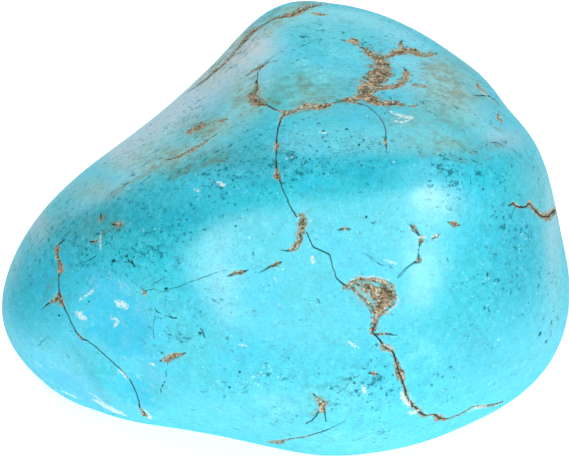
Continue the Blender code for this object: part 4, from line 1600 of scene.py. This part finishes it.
def marked(name, edge_grain, raggedness, crumble, softness):
    """The mask and the depth of one kind of stroke."""
    return place_group(
        tree, stroke, Way=stored(name + "_way", "Vector"), Gap=stored(name + "_gap"),
        Half_width=stored(name + "_half"), Place=place, Grain=edge_grain, Raggedness=raggedness,
        Crumble=crumble, Softness=softness,
    )


marks = {name: marked(name, *values) for name, values in EDGES.items()}
inside = {name: outputs["Mask"] for name, outputs in marks.items()}
depth = {name: outputs["Depth"] for name, outputs in marks.items()}
mask = {name: patches(tree, place, *values) for name, values in STONE_PATCHES.items()}
stone = place_group(
    tree, blue, Place=place, Pale=stored("pale"), Green=stored("green"), Film=stored("painted_sheen"),
    Deep=stored("deep"), Crowd=stored("crowd"),
)
rock = place_group(tree, brown, Place=place, Depth=depth["matrix"], Half_width=stored("matrix_half"))
print("masks:", ", ".join(inside))

# %% Its colour
LIP = (0.05, 0.30)  # mm either side of a chip's edge, where its crushed lip fades out
BLEACHED = (-0.26, 0.0)  # mm outside the matrix, where the stone is bleached
BLEACHING_WIDTH = (0.02, 0.16)  # half widths in mm between which matrix begins to bleach what is round it
PACKED = (0.05, 0.30)  # mm inside a chalk mark, where it is packed
STAIN_LEAST, STAIN_STREAKS = 0.24, 0.72  # share of a stain between its streaks, and what they add
BLEACH_LEAST, BLEACH_CRUSHED = 0.30, 0.45  # share of the bleaching, and what the crushed patches add
CHALK_LEAST, CHALK_CRUMBS, CHALK_PACKED = 0.12, 0.70, 0.75  # between the crumbs, what they add, and packed

# A fresh chip is clean blue and a little bruised, with crushed white along the edge it broke from.
lip = rest_of(tree, rise_between(tree, calc(tree, "ABSOLUTE", depth["fresh"]), *LIP))
colour = blend(tree, stone["Color"], FRESH_BLUE, inside["fresh"], 0.60)
colour = blend(tree, colour, CHALK_WHITE, inside["fresh"], mask["bruised"], 0.10)
colour = blend(tree, colour, DEEP_BLUE, inside["fresh"], mask["grainy"], 0.50)
colour = blend(tree, colour, CHALK_WHITE, lip, mask["crushed"], 0.22)
# Stains lie in fine streaks, and come and go.
streaks = calc(tree, "MULTIPLY_ADD", mask["streaked"], STAIN_STREAKS, STAIN_LEAST)
colour = blend(tree, colour, STAIN, inside["drift"], streaks, mask["kept"])
# Round wide matrix the stone is bleached to a greenish cream.
bleached = rise_between(tree, depth["matrix"], *BLEACHED)
wide = rise_between(tree, stored("matrix_half"), *BLEACHING_WIDTH)
uneven = calc(tree, "MULTIPLY_ADD", mask["crushed"], BLEACH_CRUSHED, BLEACH_LEAST)
colour = blend(tree, colour, FRINGE, bleached, wide, uneven)
colour = blend(tree, colour, rock["Color"], inside["matrix"])
# A crack is blackish green in the blue, and blackish brown where it is the core of a vein.
dark = blend(tree, CRACK, CORE, inside["matrix"])
colour = blend(tree, colour, dark, inside["hair"], 0.90)
# Chalk is loose crumbs, but packed in the middle of a mark.
packed = times(tree, rise_between(tree, depth["chalk"], *PACKED), CHALK_PACKED)
loose = calc(tree, "MULTIPLY_ADD", mask["crumbs"], CHALK_CRUMBS, CHALK_LEAST)
white = times(tree, inside["chalk"], most(tree, loose, packed))
colour = blend(tree, colour, CHALK_WHITE, white)
feed(tree, shader.inputs["Base Color"], colour)
print("colour of", len(tree.nodes), "nodes")

# %% Its polish
POLISH, DULL = 0.26, 0.85  # roughness of the coat and of the stone under it
DULL_SHINE = 0.12
SHINE = 1.61  # refraction of turquoise, which sets how much its polish mirrors
# Tumbled polish is full of hairline scratches, which take its mirror away where it is seen almost edge on.
GRAZING, SCRATCHED = (0.42, 0.95), 0.78
DULL_CHALK, DULL_FLECKS, DULL_CHIPS = 0.8, 0.7, 0.40  # how much of the polish each takes away

shader.inputs["Roughness"].default_value = DULL
shader.inputs["Specular IOR Level"].default_value = DULL_SHINE
shader.inputs["Coat Roughness"].default_value = POLISH
shader.inputs["Coat IOR"].default_value = SHINE
slant = add(tree, "ShaderNodeLayerWeight").outputs["Facing"]
grazed = times(tree, rise_between(tree, slant, *GRAZING), SCRATCHED)
chalky = times(tree, white, DULL_CHALK)
flecked = times(tree, stone["Flecks"], DULL_FLECKS)
chipped = times(tree, inside["fresh"], DULL_CHIPS)
dull = most(tree, inside["matrix"], inside["hair"], chalky, flecked, chipped, stored("worn"), grazed)
feed(tree, shader.inputs["Coat Weight"], rest_of(tree, dull))
print("polish: roughness", POLISH, "over", DULL)

# %% Its grit
# Heights in mm.
GRIT_HEIGHT, CRACK_DEPTH, PORE_HEIGHT = 0.06, 0.03, 0.011
PORE_SIZE = 0.34

height = times(tree, rock["Height"], inside["matrix"])
height = calc(tree, "MULTIPLY_ADD", height, GRIT_HEIGHT, times(tree, inside["hair"], -CRACK_DEPTH))
height = calc(tree, "MULTIPLY_ADD", grain(tree, place, 1 / PORE_SIZE, 4.0, 0.6), PORE_HEIGHT, height)
bump = add(tree, "ShaderNodeBump")
bump.inputs["Distance"].default_value = MM
feed(tree, bump.inputs["Height"], height)
feed(tree, shader.inputs["Normal"], bump.outputs["Normal"])
mesh.materials.append(material)
print("material with", len(tree.nodes), "nodes")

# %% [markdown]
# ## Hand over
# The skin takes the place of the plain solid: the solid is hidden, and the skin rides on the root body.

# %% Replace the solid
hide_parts("nugget")
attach(nugget, "root")
